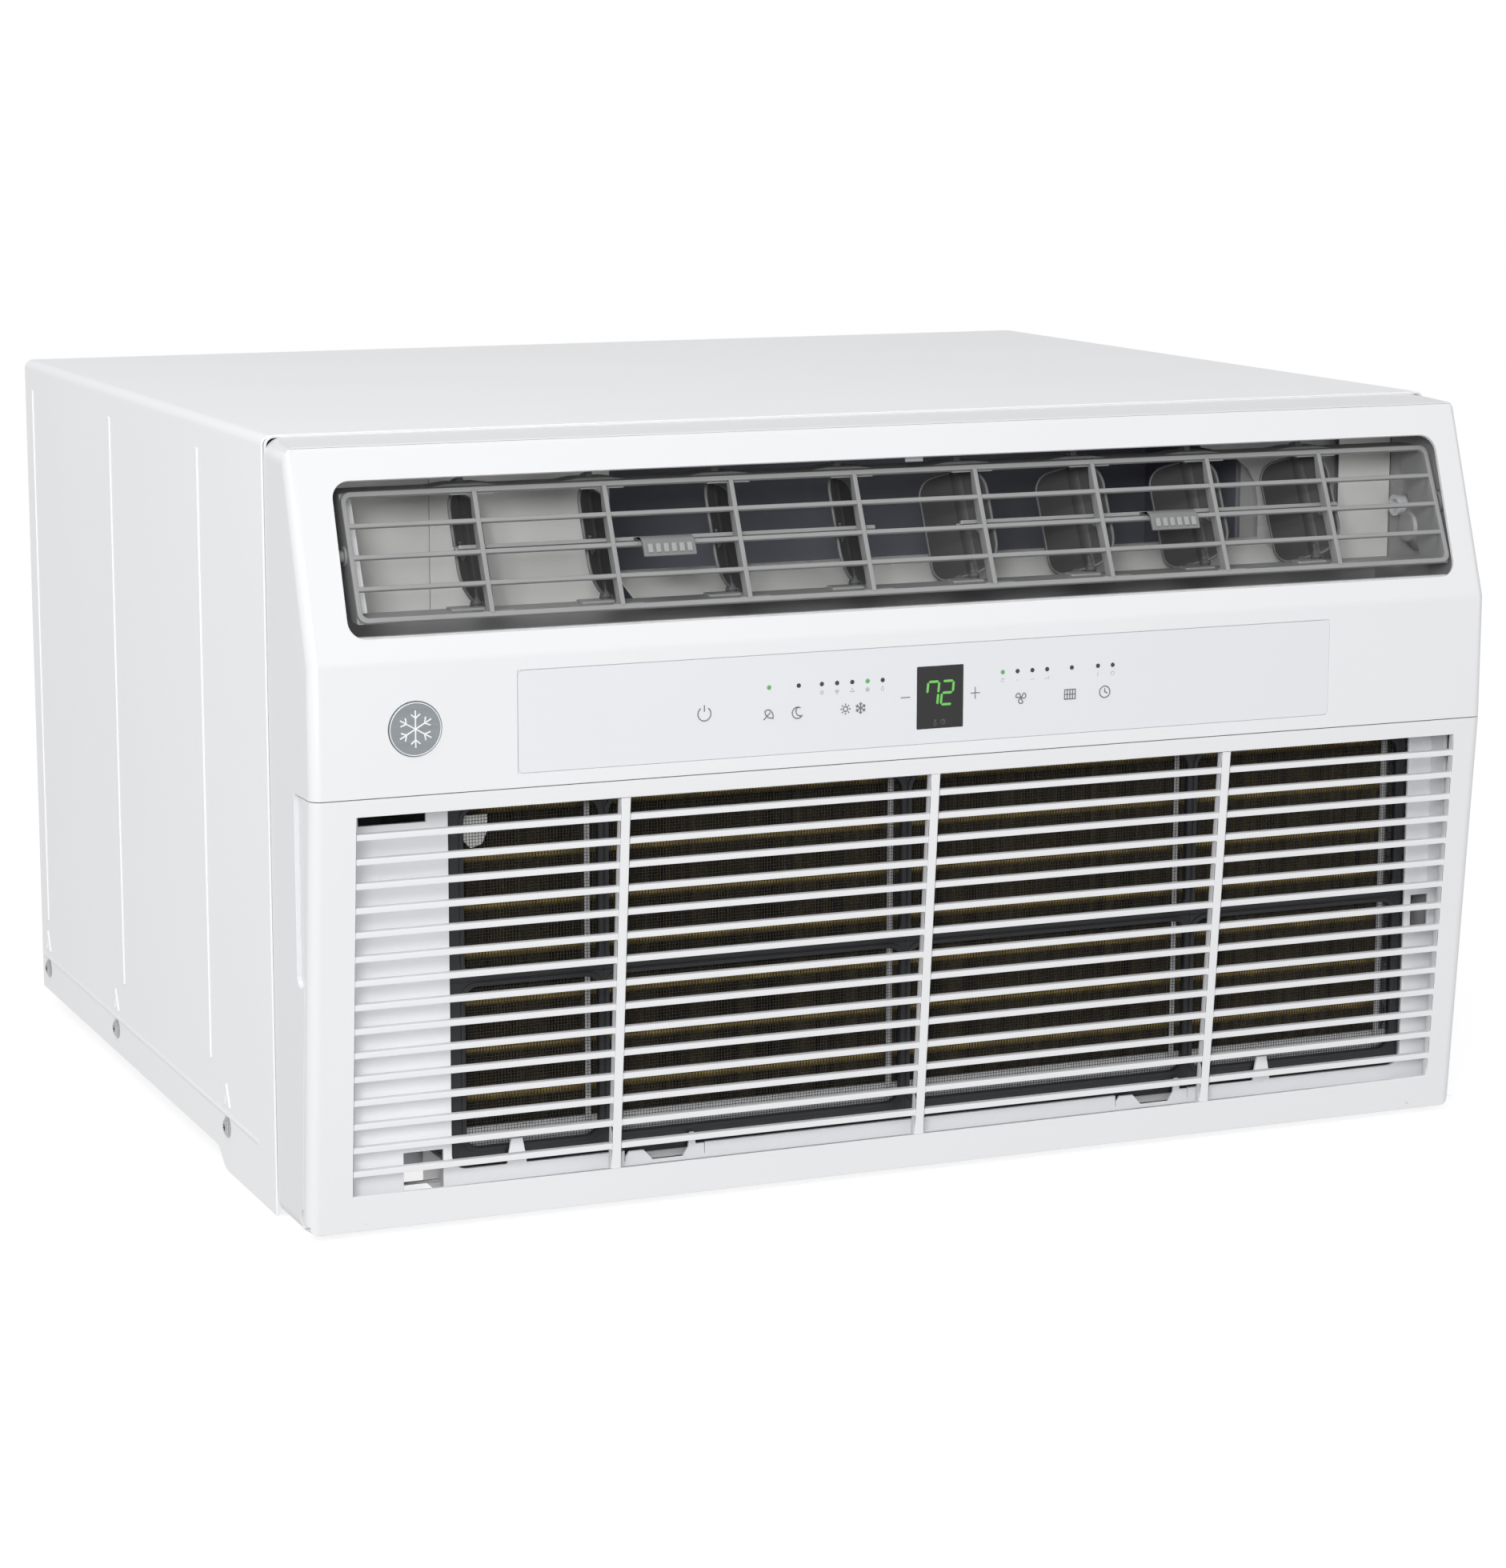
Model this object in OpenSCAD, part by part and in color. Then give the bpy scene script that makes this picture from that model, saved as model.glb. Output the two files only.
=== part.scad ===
// Through-the-wall room air conditioner, 26 inch class, in its steel sleeve.
// Millimetres. +X right, +Y to the back, +Z up, the front faces -Y.

/* [Cabinet] */
// width of the moulded front
front_w = 660; // [500:10:800]
// width of the steel sleeve
sleeve_w = 662; // [502:10:802]
// depth over everything
body_d = 573; // [450:1:750]
// height of the sleeve
body_h = 395; // [300:1:450]
// wall of the plastic mouldings
wall = 2.5; // [1.5:0.1:4]
// sheet steel thickness
sheet = 1.2; // [0.8:0.1:2]
// corner radius of the front
corner_r = 10; // [2:1:20]
// radius of the front's side edges
side_r = 6; // [3:0.5:7]
// radius of the crease
crease_r = 10; // [4:1:20]
// radius of the front top edge
edge_r = 4; // [2:0.5:5]
// height of the sleeve bottom above the feet
foot_h = 10; // [4:1:20]

/* [Front] */
// seam between control band and intake grille
seam_z = 224.6; // [180:0.1:260]
// crease between control band and slope
crease_z = 290.6; // [250:0.1:320]
// front top edge height
edge_z = 391.7; // [350:0.1:440]
// set back of the front top edge
edge_y = 36; // [10:1:60]
// set back of the intake grille at the bottom
slant = 18.9; // [0:0.1:40]
// where the front moulding meets the sleeve
sleeve_y = 70; // [50:1:120]

/* [Louver] */
// number of vertical vanes
vane_count = 8; // [4:2:12]
// vane spacing
vane_pitch = 68.2; // [50:0.1:90]
// louver centre
louver_x = 5; // [-10:0.5:10]
// louver frame length
louver_len = 614; // [500:1:640]
// distance between the rails
rail_pitch = 16; // [10:0.5:25]
// vane chord
vane_chord = 37.5; // [30:0.5:60]
// vane height
vane_h = 56; // [40:1:60]
// vane angle at rest
vane_rest = 42; // [0:1:45]
// frame angle against the slope at rest
louver_rest = 5; // [0:1:15]

/* [Intake] */
// number of slats
slat_count = 15; // [8:1:24]
// slat spacing
slat_pitch = 12.36; // [8:0.01:20]
// slat depth
slat_d = 4; // [3:0.5:16]
// slat thickness
slat_t = 3.1; // [1.5:0.1:4]

/* [Air moving] */
// shaft height
fan_z = 170; // [140:1:200]
// shaft position
fan_x = 45; // [-50:1:100]
// blower wheel radius
wheel_r = 112; // [80:1:130]
// condenser fan radius
prop_r = 146; // [100:1:155]
// blower blades
blade_count = 28; // [16:1:40]

/* [Hidden] */
$fn = 64;
fw = front_w / 2;
sw = sleeve_w / 2;
slope_a = atan2(edge_y, edge_z - crease_z);
slope_len = norm([edge_y, edge_z - crease_z]);
slant_a = atan2(slant, seam_z);
pivot_s = 55.5;
pivot_d = 12;
pin_w = 15;
mid_v = -3;
vane_v = 6.2;
pcb_y = 9.5;
led_z = 266.2;
led_x = [-91, -74.8, -62.1, -53.7, -45.3, -36.8, -28.4, 39.4, 47.9, 56.4, 64.9, 79.2, 94.4, 103];
key_p = [[-126.1, 255.2], [-91.4, 252.3], [-75.2, 252.3], [-44.8, 252.3], [-15.6, 256.4],
         [23.8, 256.4], [50.1, 252.3], [78.3, 252.3], [98.6, 252.3]];
screw_y = [158, 390, 556];
screw_z = 24.5;
white = [0.93, 0.93, 0.94];
grey = [0.52, 0.53, 0.54];
steel = [0.72, 0.73, 0.74];
alu = [0.80, 0.80, 0.78];
copper = [0.75, 0.45, 0.30];
black = [0.12, 0.12, 0.13];

// frames of reference
module unit() translate([0, -body_d / 2, 0]) children();
module along_x(x0, x1) translate([x0, 0, 0]) rotate([90, 0, 90]) linear_extrude(x1 - x0) children();
module along_y(y0, y1) translate([0, y1, 0]) rotate([90, 0, 0]) linear_extrude(y1 - y0) children();
module rod_x(x0, x1, y, z, d) translate([x0, y, z]) rotate([0, 90, 0]) cylinder(d = d, h = x1 - x0);
module rod_y(y0, y1, x, z, d) translate([x, y0, z]) rotate([-90, 0, 0]) cylinder(d = d, h = y1 - y0);
module box(x0, x1, y0, y1, z0, z1) translate([x0, y0, z0]) cube([x1 - x0, y1 - y0, z1 - z0]);
module on_slope() translate([0, 0, crease_z]) rotate([-slope_a, 0, 0]) children();
module on_louver() on_slope() translate([louver_x, pivot_d, pivot_s]) rotate([-louver_rest, 0, 0]) children();
module round_rect(x0, x1, z0, z1, r) {
  translate([x0 + r, z0]) square([x1 - x0 - 2 * r, z1 - z0]);
  translate([x0, z0 + r]) square([x1 - x0, z1 - z0 - 2 * r]);
  for (x = [x0 + r, x1 - r], z = [z0 + r, z1 - r]) translate([x, z]) circle(r);
}
module upright(x0, x1, y0, z0, z1, r) translate([0, 0, z0]) linear_extrude(z1 - z0) round_rect(x0, x1, y0, y0 + 300, r);
function unit_v(v) = v / norm(v);
function fillet(a, b, c, r, n = 6) = let(u = unit_v(a - b), v = unit_v(c - b), h = acos(u * v) / 2,
  m = b + unit_v(u + v) * r / sin(h), p = b + u * r / tan(h), q = b + v * r / tan(h),
  s = atan2(p[1] - m[1], p[0] - m[0]), e = atan2(q[1] - m[1], q[0] - m[0]),
  w = e - s > 180 ? e - s - 360 : e - s < -180 ? e - s + 360 : e - s)
  [for (i = [0 : n]) m + r * [cos(s + w * i / n), sin(s + w * i / n)]];
module pipe(pts, d) {
  for (i = [0 : len(pts) - 2]) {
    v = pts[i + 1] - pts[i];
    l = norm(v);
    translate(pts[i]) rotate([0, acos(v[2] / l), atan2(v[1], v[0])]) cylinder(d = d, h = l);
    if (i > 0) translate(pts[i]) sphere(d = d);
  }
}

// cabinet
module foot_cut() along_x(-sw - 5, sw + 5)
  polygon([[sleeve_y - 1, 0], [160, 0], [164, 0.9], [168, 3], [173, 7], [177, 9.1],
           [181, foot_h], [body_d + 1, foot_h], [body_d + 1, -20], [sleeve_y - 1, -20]]);
module sleeve_wrapper() color(white) unit() difference() {
  union() {
    difference() {
      along_y(sleeve_y + 0.25, body_d) round_rect(-sw, sw, -8, body_h, 5);
      along_y(sleeve_y - 1, body_d + 1) round_rect(-sw + sheet, sw - sheet, -12, body_h - sheet, 3.8);
    }
    for (s = [-1, 1], y = [189, 371, 555])
      box(s > 0 ? sw - 0.4 : -sw - 0.8, s > 0 ? sw + 0.8 : -sw + 0.4, y - 2.2, y + 2.2, 55, 378);
    for (s = [-1, 1]) box(s > 0 ? sw - 0.4 : -sw - 0.5, s > 0 ? sw + 0.5 : -sw + 0.4, 100, body_d - 4, 30, 32);
    for (s = [-1, 1], y = screw_y) translate([s > 0 ? sw - 0.4 : -sw - 0.8, 0, 0])
      along_x(0, 1.2) polygon([[y - 6, 36], [y - 3.5, 36], [y, 43], [y + 3.5, 36], [y + 6, 36], [y, 48]]);
  }
  foot_cut();
  box(-sw + 4, sw - 4, sleeve_y, body_d + 1, -10, 8);
  for (y = screw_y) rod_x(-sw - 2, sw + 2, y, screw_z, 4.6);
}
module base_pan() color(steel) unit() {
  pw = sw - sheet - 0.3;
  difference() {
    union() {
      box(-pw, pw, 98, body_d - 3, foot_h + 0.2, 34);
      for (x = [-230, 200]) box(x, x + 30, 190, body_d - 20, 0, foot_h + 0.2);
    }
    box(-pw + sheet, pw - sheet, 98 + sheet, body_d - 3 - sheet, foot_h + 0.2 + sheet, 35);
    for (x = [-215, 215], y = [230, 530]) translate([x, y, -1]) cylinder(d = 7, h = 20);
    for (y = screw_y) rod_x(-pw - 1, pw + 1, y, screw_z, 4);
    translate([250, 505, 0]) cylinder(d = 20, h = 20);
    rod_y(body_d - 6, body_d, 313, 24, 16.4);
  }
}
module rear_guard() color(steel) unit() difference() {
  box(-sw + 2, sw - 2, body_d - 1.5, body_d, 36, body_h - 3);
  for (i = [0 : 23], j = [0 : 1])
    box(-308 + i * 26, -308 + i * 26 + 18, body_d - 3, body_d + 1, 62 + j * 164, 62 + j * 164 + 148);
}
module sleeve_screws() color(steel) unit() for (s = [-1, 1], y = screw_y) {
  rod_x(s > 0 ? sw - 7 : -sw, s > 0 ? sw : -sw + 7, y, screw_z, 3.8);
  rod_x(s > 0 ? sw : -sw - 1.6, s > 0 ? sw + 1.6 : -sw, y, screw_z, 9);
}
module front_bezel() color(white) unit() difference() {
  union() {
    difference() {
      intersection() {
        along_x(-fw, fw) polygon(concat([[0, seam_z]],
          fillet([0, seam_z], [0, crease_z], [edge_y, edge_z], crease_r),
          fillet([0, crease_z], [edge_y, edge_z], [sleeve_y, 394], edge_r),
          [[sleeve_y, 394], [sleeve_y, 0], [slant + 8.9, 0], [8.9, seam_z]]));
        along_y(-1, sleeve_y + 1) round_rect(-fw, fw, 0, 394, corner_r);
        upright(-fw, fw, 0, -1, 400, side_r);
        on_slope() upright(-fw, fw, 0, -420, 200, side_r);
      }
      intersection() {
        union() {
          intersection() {
            along_x(-fw, fw) polygon([[wall, seam_z + wall], [wall, crease_z - 1],
              [edge_y + 0.5, edge_z - wall - 0.6], [sleeve_y + 1, 394 - wall], [sleeve_y + 1, seam_z + wall]]);
            upright(-fw + wall, fw - wall, wall, -1, 400, side_r - wall);
            on_slope() upright(-fw + wall, fw - wall, wall, -420, 200, side_r - wall);
          }
          box(-fw, fw, -1, sleeve_y + 1, wall, seam_z);
          box(-fw, fw, 33, sleeve_y + 1, seam_z - 1, seam_z + wall + 1);
        }
        along_y(-2, sleeve_y + 2) round_rect(-fw + wall, fw - wall, wall, 394 - wall, corner_r - wall);
      }
    }
    for (s = [-1, 1]) difference() {
      box(s > 0 ? fw - 12 : -fw + 0.5, s > 0 ? fw - 0.5 : -fw + 12, 17.5, 30.8, 126, seam_z + 1);
      box(s > 0 ? fw - 10 : -fw - 1, s > 0 ? fw + 1 : -fw + 10, 16.5, 28.8, 128, seam_z - 0.5);
    }
  }
  on_slope() along_y(-3, 8) round_rect(-308, 313, 11.8, 90.1, 9);
  box(-224.4, 232.9, -1, 0.8, 231.6, 282.8);
  box(-216, 224, -1, wall + 1, 236, 279);
  for (s = [-1, 1]) {
    box(s > 0 ? fw - 6 : -fw - 1, s > 0 ? fw + 1 : -fw + 6, 8, 28.8, 134, seam_z);
    translate([s > 0 ? fw - 6 : -fw - 1, 23.1, 134]) rotate([0, 90, 0]) cylinder(d = 11.3, h = 7);
  }
  rod_y(-1, 1.2, -277, 257.3, 27.4);
  rod_x(-fw - 1, fw + 1, 24.5, 8.5, 14);
  box(-fw + wall, fw - wall, 20, 31.8, -1, 4);
}
module inner_front_panel() color(white) unit() {
  difference() {
    along_y(31, 33) round_rect(-fw + wall + 0.1, fw - wall - 0.1, wall + 0.1, seam_z - 0.1, corner_r - wall);
    along_y(30, 34) round_rect(-250.5, 304, 25.5, 218, 8);
    for (a = [-157.5, 126]) box(a, a + 44.5, 30, 34, 19.5, 27);
    box(-297, -262, 30, 34, 205, 216);
    box(-276, -255, 30, 34, 16, 37);
    box(308, 319, 30, 34, 103, 121);
  }
  for (t = [-215.8, 216]) along_y(31, 32.6)
    polygon([[t - 5.5, 20], [t + 5.5, 20], [t + 5, 28], [t + 3, 38.5], [t - 3, 38.5], [t - 5, 28]]);
  for (t = [0, 283.5]) along_y(31, 32.6) {
    polygon([[t - 157, 17], [t - 142, 17], [t - 142.4, 20], [t - 147, 25], [t - 155, 25], [t - 157, 22]]);
    polygon([[t - 125, 17], [t - 113.4, 17], [t - 113.4, 25.2], [t - 118.2, 25.2], [t - 119, 31.5], [t - 121.5, 31.5], [t - 122.4, 24], [t - 125, 20]]);
  }
}
module grille_hinge_clips() color(white) unit() for (s = [-1, 1]) difference() {
  union() {
    rod_x(s * 305 - 2.5, s * 305 + 2.5, 24.5, 8.5, 7.4);
    box(s * 305 - 2.5, s * 305 + 2.5, 25, 31, 6.5, 10.5);
  }
  rod_x(s * 305 - 4, s * 305 + 4, 24.5, 8.5, 4.6);
}

// control panel
module control_overlay() color(black) unit() along_y(0, 0.8) round_rect(-224.2, 232.7, 231.8, 282.6, 3);
module key_carrier() color(grey) unit() difference() {
  box(-214, 222, 3, 5, 238, 277);
  for (k = key_p) rod_y(2, 6, k[0], k[1], 10.6);
  for (x = led_x) rod_y(2, 6, x, led_z, 3.2);
  box(-8, 16, 2, 6, 242, 271.5);
}
module control_board() color([0.1, 0.35, 0.2]) unit() {
  box(-214, 222, pcb_y, pcb_y + 1.6, 234, 281);
  for (k = key_p) box(k[0] - 3, k[0] + 3, pcb_y - 0.9, pcb_y, k[1] - 3, k[1] + 3);
  box(130, 190, pcb_y + 1.6, pcb_y + 14, 242, 270);
}
module display_module() color(black) unit() box(-7.6, 15.6, 1.2, pcb_y, 242.4, 271.2);
module indicator_leds() color([0.3, 0.8, 0.3]) unit() for (x = led_x) rod_y(1.2, pcb_y, x, led_z, 3);
module badge() color(steel) unit() rod_y(0, 1.2, -277, 257.3, 27);
module key(i) color(white) unit() {
  rod_y(1.1, 8.1, key_p[i][0], key_p[i][1], 10);
}

// refrigeration circuit
module u_bend(r, d) rotate_extrude(angle = 180) translate([r, 0]) circle(d = d);
module evaporator_fins() color(alu) unit() difference() {
  box(-238, 298, 44, 84, 22, 284);
  for (i = [0 : 43]) box(-232 + i * 12, -232 + i * 12 + 9, 43, 46, 26, 280);
}
module evaporator_tubes() color(copper) unit() {
  for (z = [46 : 40 : 246]) {
    translate([298, 64, z]) rotate([90, 0, 0]) rotate([0, 0, -90]) u_bend(11, 9);
    translate([-238, 64, z + 20]) rotate([90, 0, 0]) rotate([0, 0, 90]) u_bend(11, 9);
  }
}
module condenser_fins() color(alu) unit() difference() {
  box(-300, 300, 528, 562, 14, 386);
  for (i = [0 : 48]) box(-293 + i * 12, -293 + i * 12 + 9, 560, 563, 20, 380);
}
module condenser_tubes() color(copper) unit() {
  for (z = [40 : 50 : 340]) {
    translate([300, 545, z]) rotate([90, 0, 0]) rotate([0, 0, -90]) u_bend(12.5, 9);
    translate([-300, 545, z + 25]) rotate([90, 0, 0]) rotate([0, 0, 90]) u_bend(12.5, 9);
  }
}
comp = [-220, 330, foot_h + 1.4];
module comp_feet() for (a = [90, 210, 330]) translate(comp) rotate([0, 0, a]) translate([78, 0, 0]) children();
module compressor() color([0.15, 0.15, 0.16]) unit() {
  translate(comp) translate([0, 0, 15]) rotate_extrude() polygon([[0, 0], [52, 0], [60, 6], [62, 14],
    [62, 200], [60, 215], [52, 228], [38, 236], [18, 240], [0, 241]]);
  difference() {
    union() {
      translate(comp) translate([0, 0, 12]) cylinder(r = 56, h = 3);
      comp_feet() translate([0, 0, 12]) cylinder(d = 26, h = 3);
      for (a = [90, 210, 330]) translate(comp) rotate([0, 0, a]) translate([0, -13, 12]) cube([78, 26, 3]);
    }
    comp_feet() cylinder(d = 9, h = 20);
  }
  translate([-128, 330, 90]) rotate_extrude()
    polygon([[0, 0], [12, 0], [22, 6], [25, 14], [25, 136], [22, 144], [12, 150], [0, 150]]);
  box(-160, -150, 322, 338, 150, 170);
}
module compressor_grommets() color(black) unit() comp_feet() difference() {
  cylinder(d = 24, h = 12);
  translate([0, 0, -1]) cylinder(d = 8.4, h = 15);
}
module compressor_studs() color(steel) unit() comp_feet() {
  cylinder(d = 8, h = 24);
  translate([0, 0, 15.2]) cylinder(d = 15, h = 6, $fn = 6);
}
module suction_line() color(copper) unit()
  pipe([[-238.2, 75, 60], [-290, 75, 60], [-290, 240, 60], [-290, 240, 290], [-128, 240, 290],
        [-128, 330, 290], [-128, 330, 240]], 10);
module discharge_line() color(copper) unit()
  pipe([[-220, 330, comp[2] + 256], [-220, 330, 320], [-220, 528, 320]], 8);
module capillary_line() color(copper) unit() {
  pipe([[-240, 528, 60], [-240, 445, 60], [-312, 445, 60], [-312, 120, 60], [-312, 120, 110],
        [-275, 120, 110], [-275, 64, 110], [-262, 64, 110]], 4);
  rod_y(220, 300, -312, 60, 18);
}

// structure and air path
module bulkhead() color(steel) unit() difference() {
  box(-fw + 3, fw - 3, 206, 207.2, foot_h + 1.5, 391);
  rod_y(205, 209, fan_x, fan_z, 30);
  box(-324, -270, 205, 209, 46, 74);
}
module scroll_shape(o) {
  translate([fan_x, fan_z]) circle(128 + o);
  polygon([[fan_x - 128 - o, fan_z], [fan_x + 128 + o, fan_z], [230 + o, 286], [230 + o, 377 + o],
           [-140 - o, 377 + o], [-140 - o, 286]]);
}
module blower_scroll() color([0.30, 0.33, 0.38]) unit() difference() {
  along_y(96, 205) scroll_shape(3);
  along_y(99, 202) scroll_shape(0);
  rod_y(95, 100, fan_x, fan_z, 200);
  rod_y(200, 206, fan_x, fan_z, 30);
  box(-139, 229, 95, 100, 300, 376);
}
module plenum_shape(o) polygon([[7.5 - o, 299.5 - o], [10 - o, 288 - o], [93, 288 - o], [93, 380 + o],
  [36.5, 380 + o]]);
module discharge_plenum() color(grey) unit() difference() {
  union() {
    difference() {
      along_x(-313.5, 319.5) plenum_shape(1.8);
      along_x(-311, 317) plenum_shape(0);
    }
    box(-313.5, -140, 93, 95.5, 286.2, 381.8);
    box(230, 319.5, 93, 95.5, 286.2, 381.8);
    box(-313.5, 319.5, 93, 95.5, 286.2, 300);
    box(-313.5, 319.5, 93, 95.5, 376, 381.8);
  }
  on_slope() translate([0, -6, 10]) box(-311, 317, 0, 11, 0, 85);
  on_slope() rod_x(-320, 330, pivot_d, pivot_s, 12.4);
}
module louver_bushes() color(white) unit() on_slope() difference() {
  union() {
    rod_x(-313.5, -308.5, pivot_d, pivot_s, 12);
    rod_x(314, 319.5, pivot_d, pivot_s, 12);
  }
  rod_x(-320, 330, pivot_d, pivot_s, 6.8);
}
module fan_motor() color([0.25, 0.26, 0.28]) unit() difference() {
  union() {
    rod_y(222, 306, fan_x, fan_z, 112);
    rod_y(214, 314, fan_x, fan_z, 50);
  }
  rod_y(210, 320, fan_x, fan_z, 13);
}
module motor_bracket() color(steel) unit() difference() {
  union() {
    box(fan_x - 62, fan_x + 62, 240, 242, foot_h + 1.4, fan_z);
    box(fan_x - 62, fan_x + 62, 286, 288, foot_h + 1.4, fan_z);
    box(fan_x - 62, fan_x + 62, 240, 288, foot_h + 1.4, foot_h + 3.4);
  }
  rod_y(230, 300, fan_x, fan_z, 112.4);
}
module condenser_shroud() color(grey) unit() difference() {
  union() {
    box(-fw + 4, fw - 4, 500, 502, foot_h + 2, 390);
    rod_y(476, 502, fan_x, fan_z, 306);
  }
  rod_y(470, 503, fan_x, fan_z, 302);
  box(-fw, fw, 470, 503, 0, foot_h + 2);
  rod_y(499, 503, -220, 320, 12);
  rod_y(499, 503, -240, 60, 8);
}
module control_box() color(steel) unit() difference() {
  box(240, 322, 102, 204, 60, 280);
  box(241.2, 320.8, 101, 202.8, 61.2, 278.8);
}
module run_capacitor() color(alu) unit() translate([280, 160, 61.2]) {
  cylinder(d = 50, h = 95);
  for (x = [-10, 10]) translate([x - 3, -0.5, 95]) cube([6, 1, 9]);
}
module heater_rack() color([0.7, 0.7, 0.68]) unit() {
  for (x = [-70, 157]) box(x, x + 3, 87, 93, 70, 270);
  for (z = [80 : 30 : 260]) rod_x(-67, 157, 90, z, 5);
}
module drip_tray() color([0.85, 0.85, 0.86]) unit() {
  difference() {
    box(-245, 305, 38.4, 95, wall + 0.1, 21.8);
    box(-242, 302, 41, 92, 16, 23);
  }
  box(-241, 301, 40, 42.2, 18, 44);
}
module cord_gland() color(black) unit() difference() {
  union() {
    rod_y(body_d - 3, body_d - 1, 313, 24, 22);
    rod_y(body_d - 13, body_d - 1, 313, 24, 16);
  }
  rod_y(body_d - 14, body_d, 313, 24, 8);
}

// intake grille and filter
module on_slant() translate([0, 0, seam_z - 0.4]) rotate([slant_a, 0, 0]) children();
module intake_grille() color(white) unit() {
  ph = (seam_z - 3.4) / cos(slant_a);
  difference() {
    intersection() {
      on_slant() difference() {
        intersection() {
          box(-fw, fw, 0, 8.6, -ph, 0);
          upright(-fw, fw, 0, -300, 50, side_r);
        }
        intersection() {
          box(-fw, fw, 2, 10, -ph - 1, -wall);
          upright(-fw + wall, fw - wall, 2, -300, 50, side_r - wall);
        }
        box(-fw - 1, fw + 1, 2, 10, -ph - 1, -ph + 4);
        box(-307, 313, -1, 3, -(seam_z - 20.9), -(seam_z - 215.9));
      }
      along_y(-5, 60) round_rect(-fw, fw, 3, 300, corner_r - 3);
    }
    for (s = [-1, 1]) box(s > 0 ? fw - 12.5 : -fw - 1, s > 0 ? fw + 1 : -fw + 12.5, 16.8, 31, 125, 226);
    box(-fw - 1, fw + 1, -5, 40, seam_z - 0.4, seam_z + 10);
  }
  for (s = [-1, 1]) intersection() {
    box(s > 0 ? fw - wall : -fw, s > 0 ? fw : -fw + wall, 3, 16.5, 134, seam_z - 0.4);
    on_slant() box(-fw, fw, 1, 30, -300, 0);
    on_slant() upright(-fw, fw, 0, -300, 0, side_r);
  }
  on_slant() {
    for (i = [0 : slat_count - 1])
      box(-308, 314, 0.4, slat_d, -(seam_z - 31) + i * slat_pitch, -(seam_z - 31) + i * slat_pitch + slat_t);
    for (x = [-168, 2, 172]) box(x - 2, x + 3.1, 0.2, slat_d + 1.2, -(seam_z - 20), -(seam_z - 217));
    for (x = [-310.5, 313]) box(x, x + 2.5, 0.5, slat_d + 1, -(seam_z - 18), -(seam_z - 218));
  }
  for (s = [-1, 1]) {
    rod_x(s * 305 - (s > 0 ? 6 : 4), s * 305 + (s > 0 ? 4 : 6), 24.5, 8.5, 4);
    box(s * 299.5 - 1.5, s * 299.5 + 1.5, 19.4, 26.5, 6.5, 14);
  }
}
filter_x = [[-241.5, -170], [-164, -1], [5, 168], [174, 298]];
filter_zs = [[35, 118], [124, 209]];
module air_filter() color(black) unit() {
  difference() {
    box(-249.5, 304, 34, 38, 23, 215);
    for (c = filter_x, r = filter_zs) box(c[0], c[1], 33, 39, r[0], r[1]);
  }
  for (c = filter_x, r = filter_zs) box(c[0] - 1, c[1] + 1, 35.8, 36.2, r[0] - 1, r[1] + 1);
}

// louver
module louver_frame() color(grey) unit() on_louver() difference() {
  l = louver_len / 2;
  lo = mid_v - 2 * rail_pitch - 1.3;
  hi = mid_v + 2 * rail_pitch + 1.3;
  rise = 23 * tan(slope_a + louver_rest);
  union() {
    for (k = [-2 : 2]) box(-l, l, -7.6, -4.6, mid_v + k * rail_pitch - 1.3, mid_v + k * rail_pitch + 1.3);
    for (z = [lo, hi - 2.6]) along_x(-l, l)
      polygon([[-5, z], [18, z + rise], [18, z + rise + 2.6], [-5, z + 2.6]]);
    for (s = [-1, 1]) along_x(s > 0 ? l - 2.6 : -l, s > 0 ? l : -l + 2.6)
      polygon([[-7.6, lo], [-5, lo], [18, lo + rise], [18, hi + rise], [-5, hi], [-7.6, hi]]);
    for (i = [0 : vane_count - 1]) translate([(i - 3.5) * vane_pitch, 0, 0])
      box(-1.2, 1.2, -7.4, -2, mid_v - 2 * rail_pitch, mid_v + 2 * rail_pitch);
    rod_x(-l - 9, -l + 1, 0, 0, 6);
    rod_x(l - 1, l + 6, 0, 0, 6);
  }
  for (i = [0 : vane_count - 1]) translate([(i - 3.5) * vane_pitch, pin_w, -60]) cylinder(d = 4.8, h = 120);
}
module vane(i) color(grey) unit() on_louver() translate([(i - 3.5) * vane_pitch, pin_w, vane_v])
  rotate([0, 0, i < vane_count / 2 ? -vane_rest : vane_rest]) {
    f = 15.5;
    difference() {
      intersection() {
        along_x(-0.8, 0.8) round_rect(-f, vane_chord - f + 30, -vane_h / 2, vane_h / 2, 14);
        along_x(-1, 1) round_rect(-f - 30, vane_chord - f, -vane_h / 2, vane_h / 2, 9);
      }
      box(-3, 3, -f - 1, -6.2, -7.2, -2.6);
    }
    translate([0, -10, -9.4]) cylinder(d = 2.6, h = 9);
    translate([0, 0, -34.7]) cylinder(d = 4, h = 69.4);
}
module link_bar(c0, c1, gx, s) color(grey) unit() on_louver() {
  off = -s * 10 * sin(vane_rest);
  difference() {
    box((c0 - 3.5) * vane_pitch - 10, (c1 - 3.5) * vane_pitch + 10, pin_w - 16, pin_w - 9.5, 0.3, 2.5);
    for (i = [c0 : c1]) translate([(i - 3.5) * vane_pitch + off, 0, 0])
      box(-1.9, 1.9, pin_w - 12, pin_w - 9, -2, 4);
  }
  along_x(gx - 14, gx + 14) polygon([[0, 0.4], [-8.4, 0.4], [-10.6, -2.8], [-10.6, -11.6], [-12.7, -11.6], [-12.7, -3.4], [-9.4, 2.4], [0, 2.4]]);
  for (k = [-2.5 : 2.5]) translate([gx + k * 4.2, 0, 0]) box(-1.2, 1.2, -13.4, -12, -10, -5);
}

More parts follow.
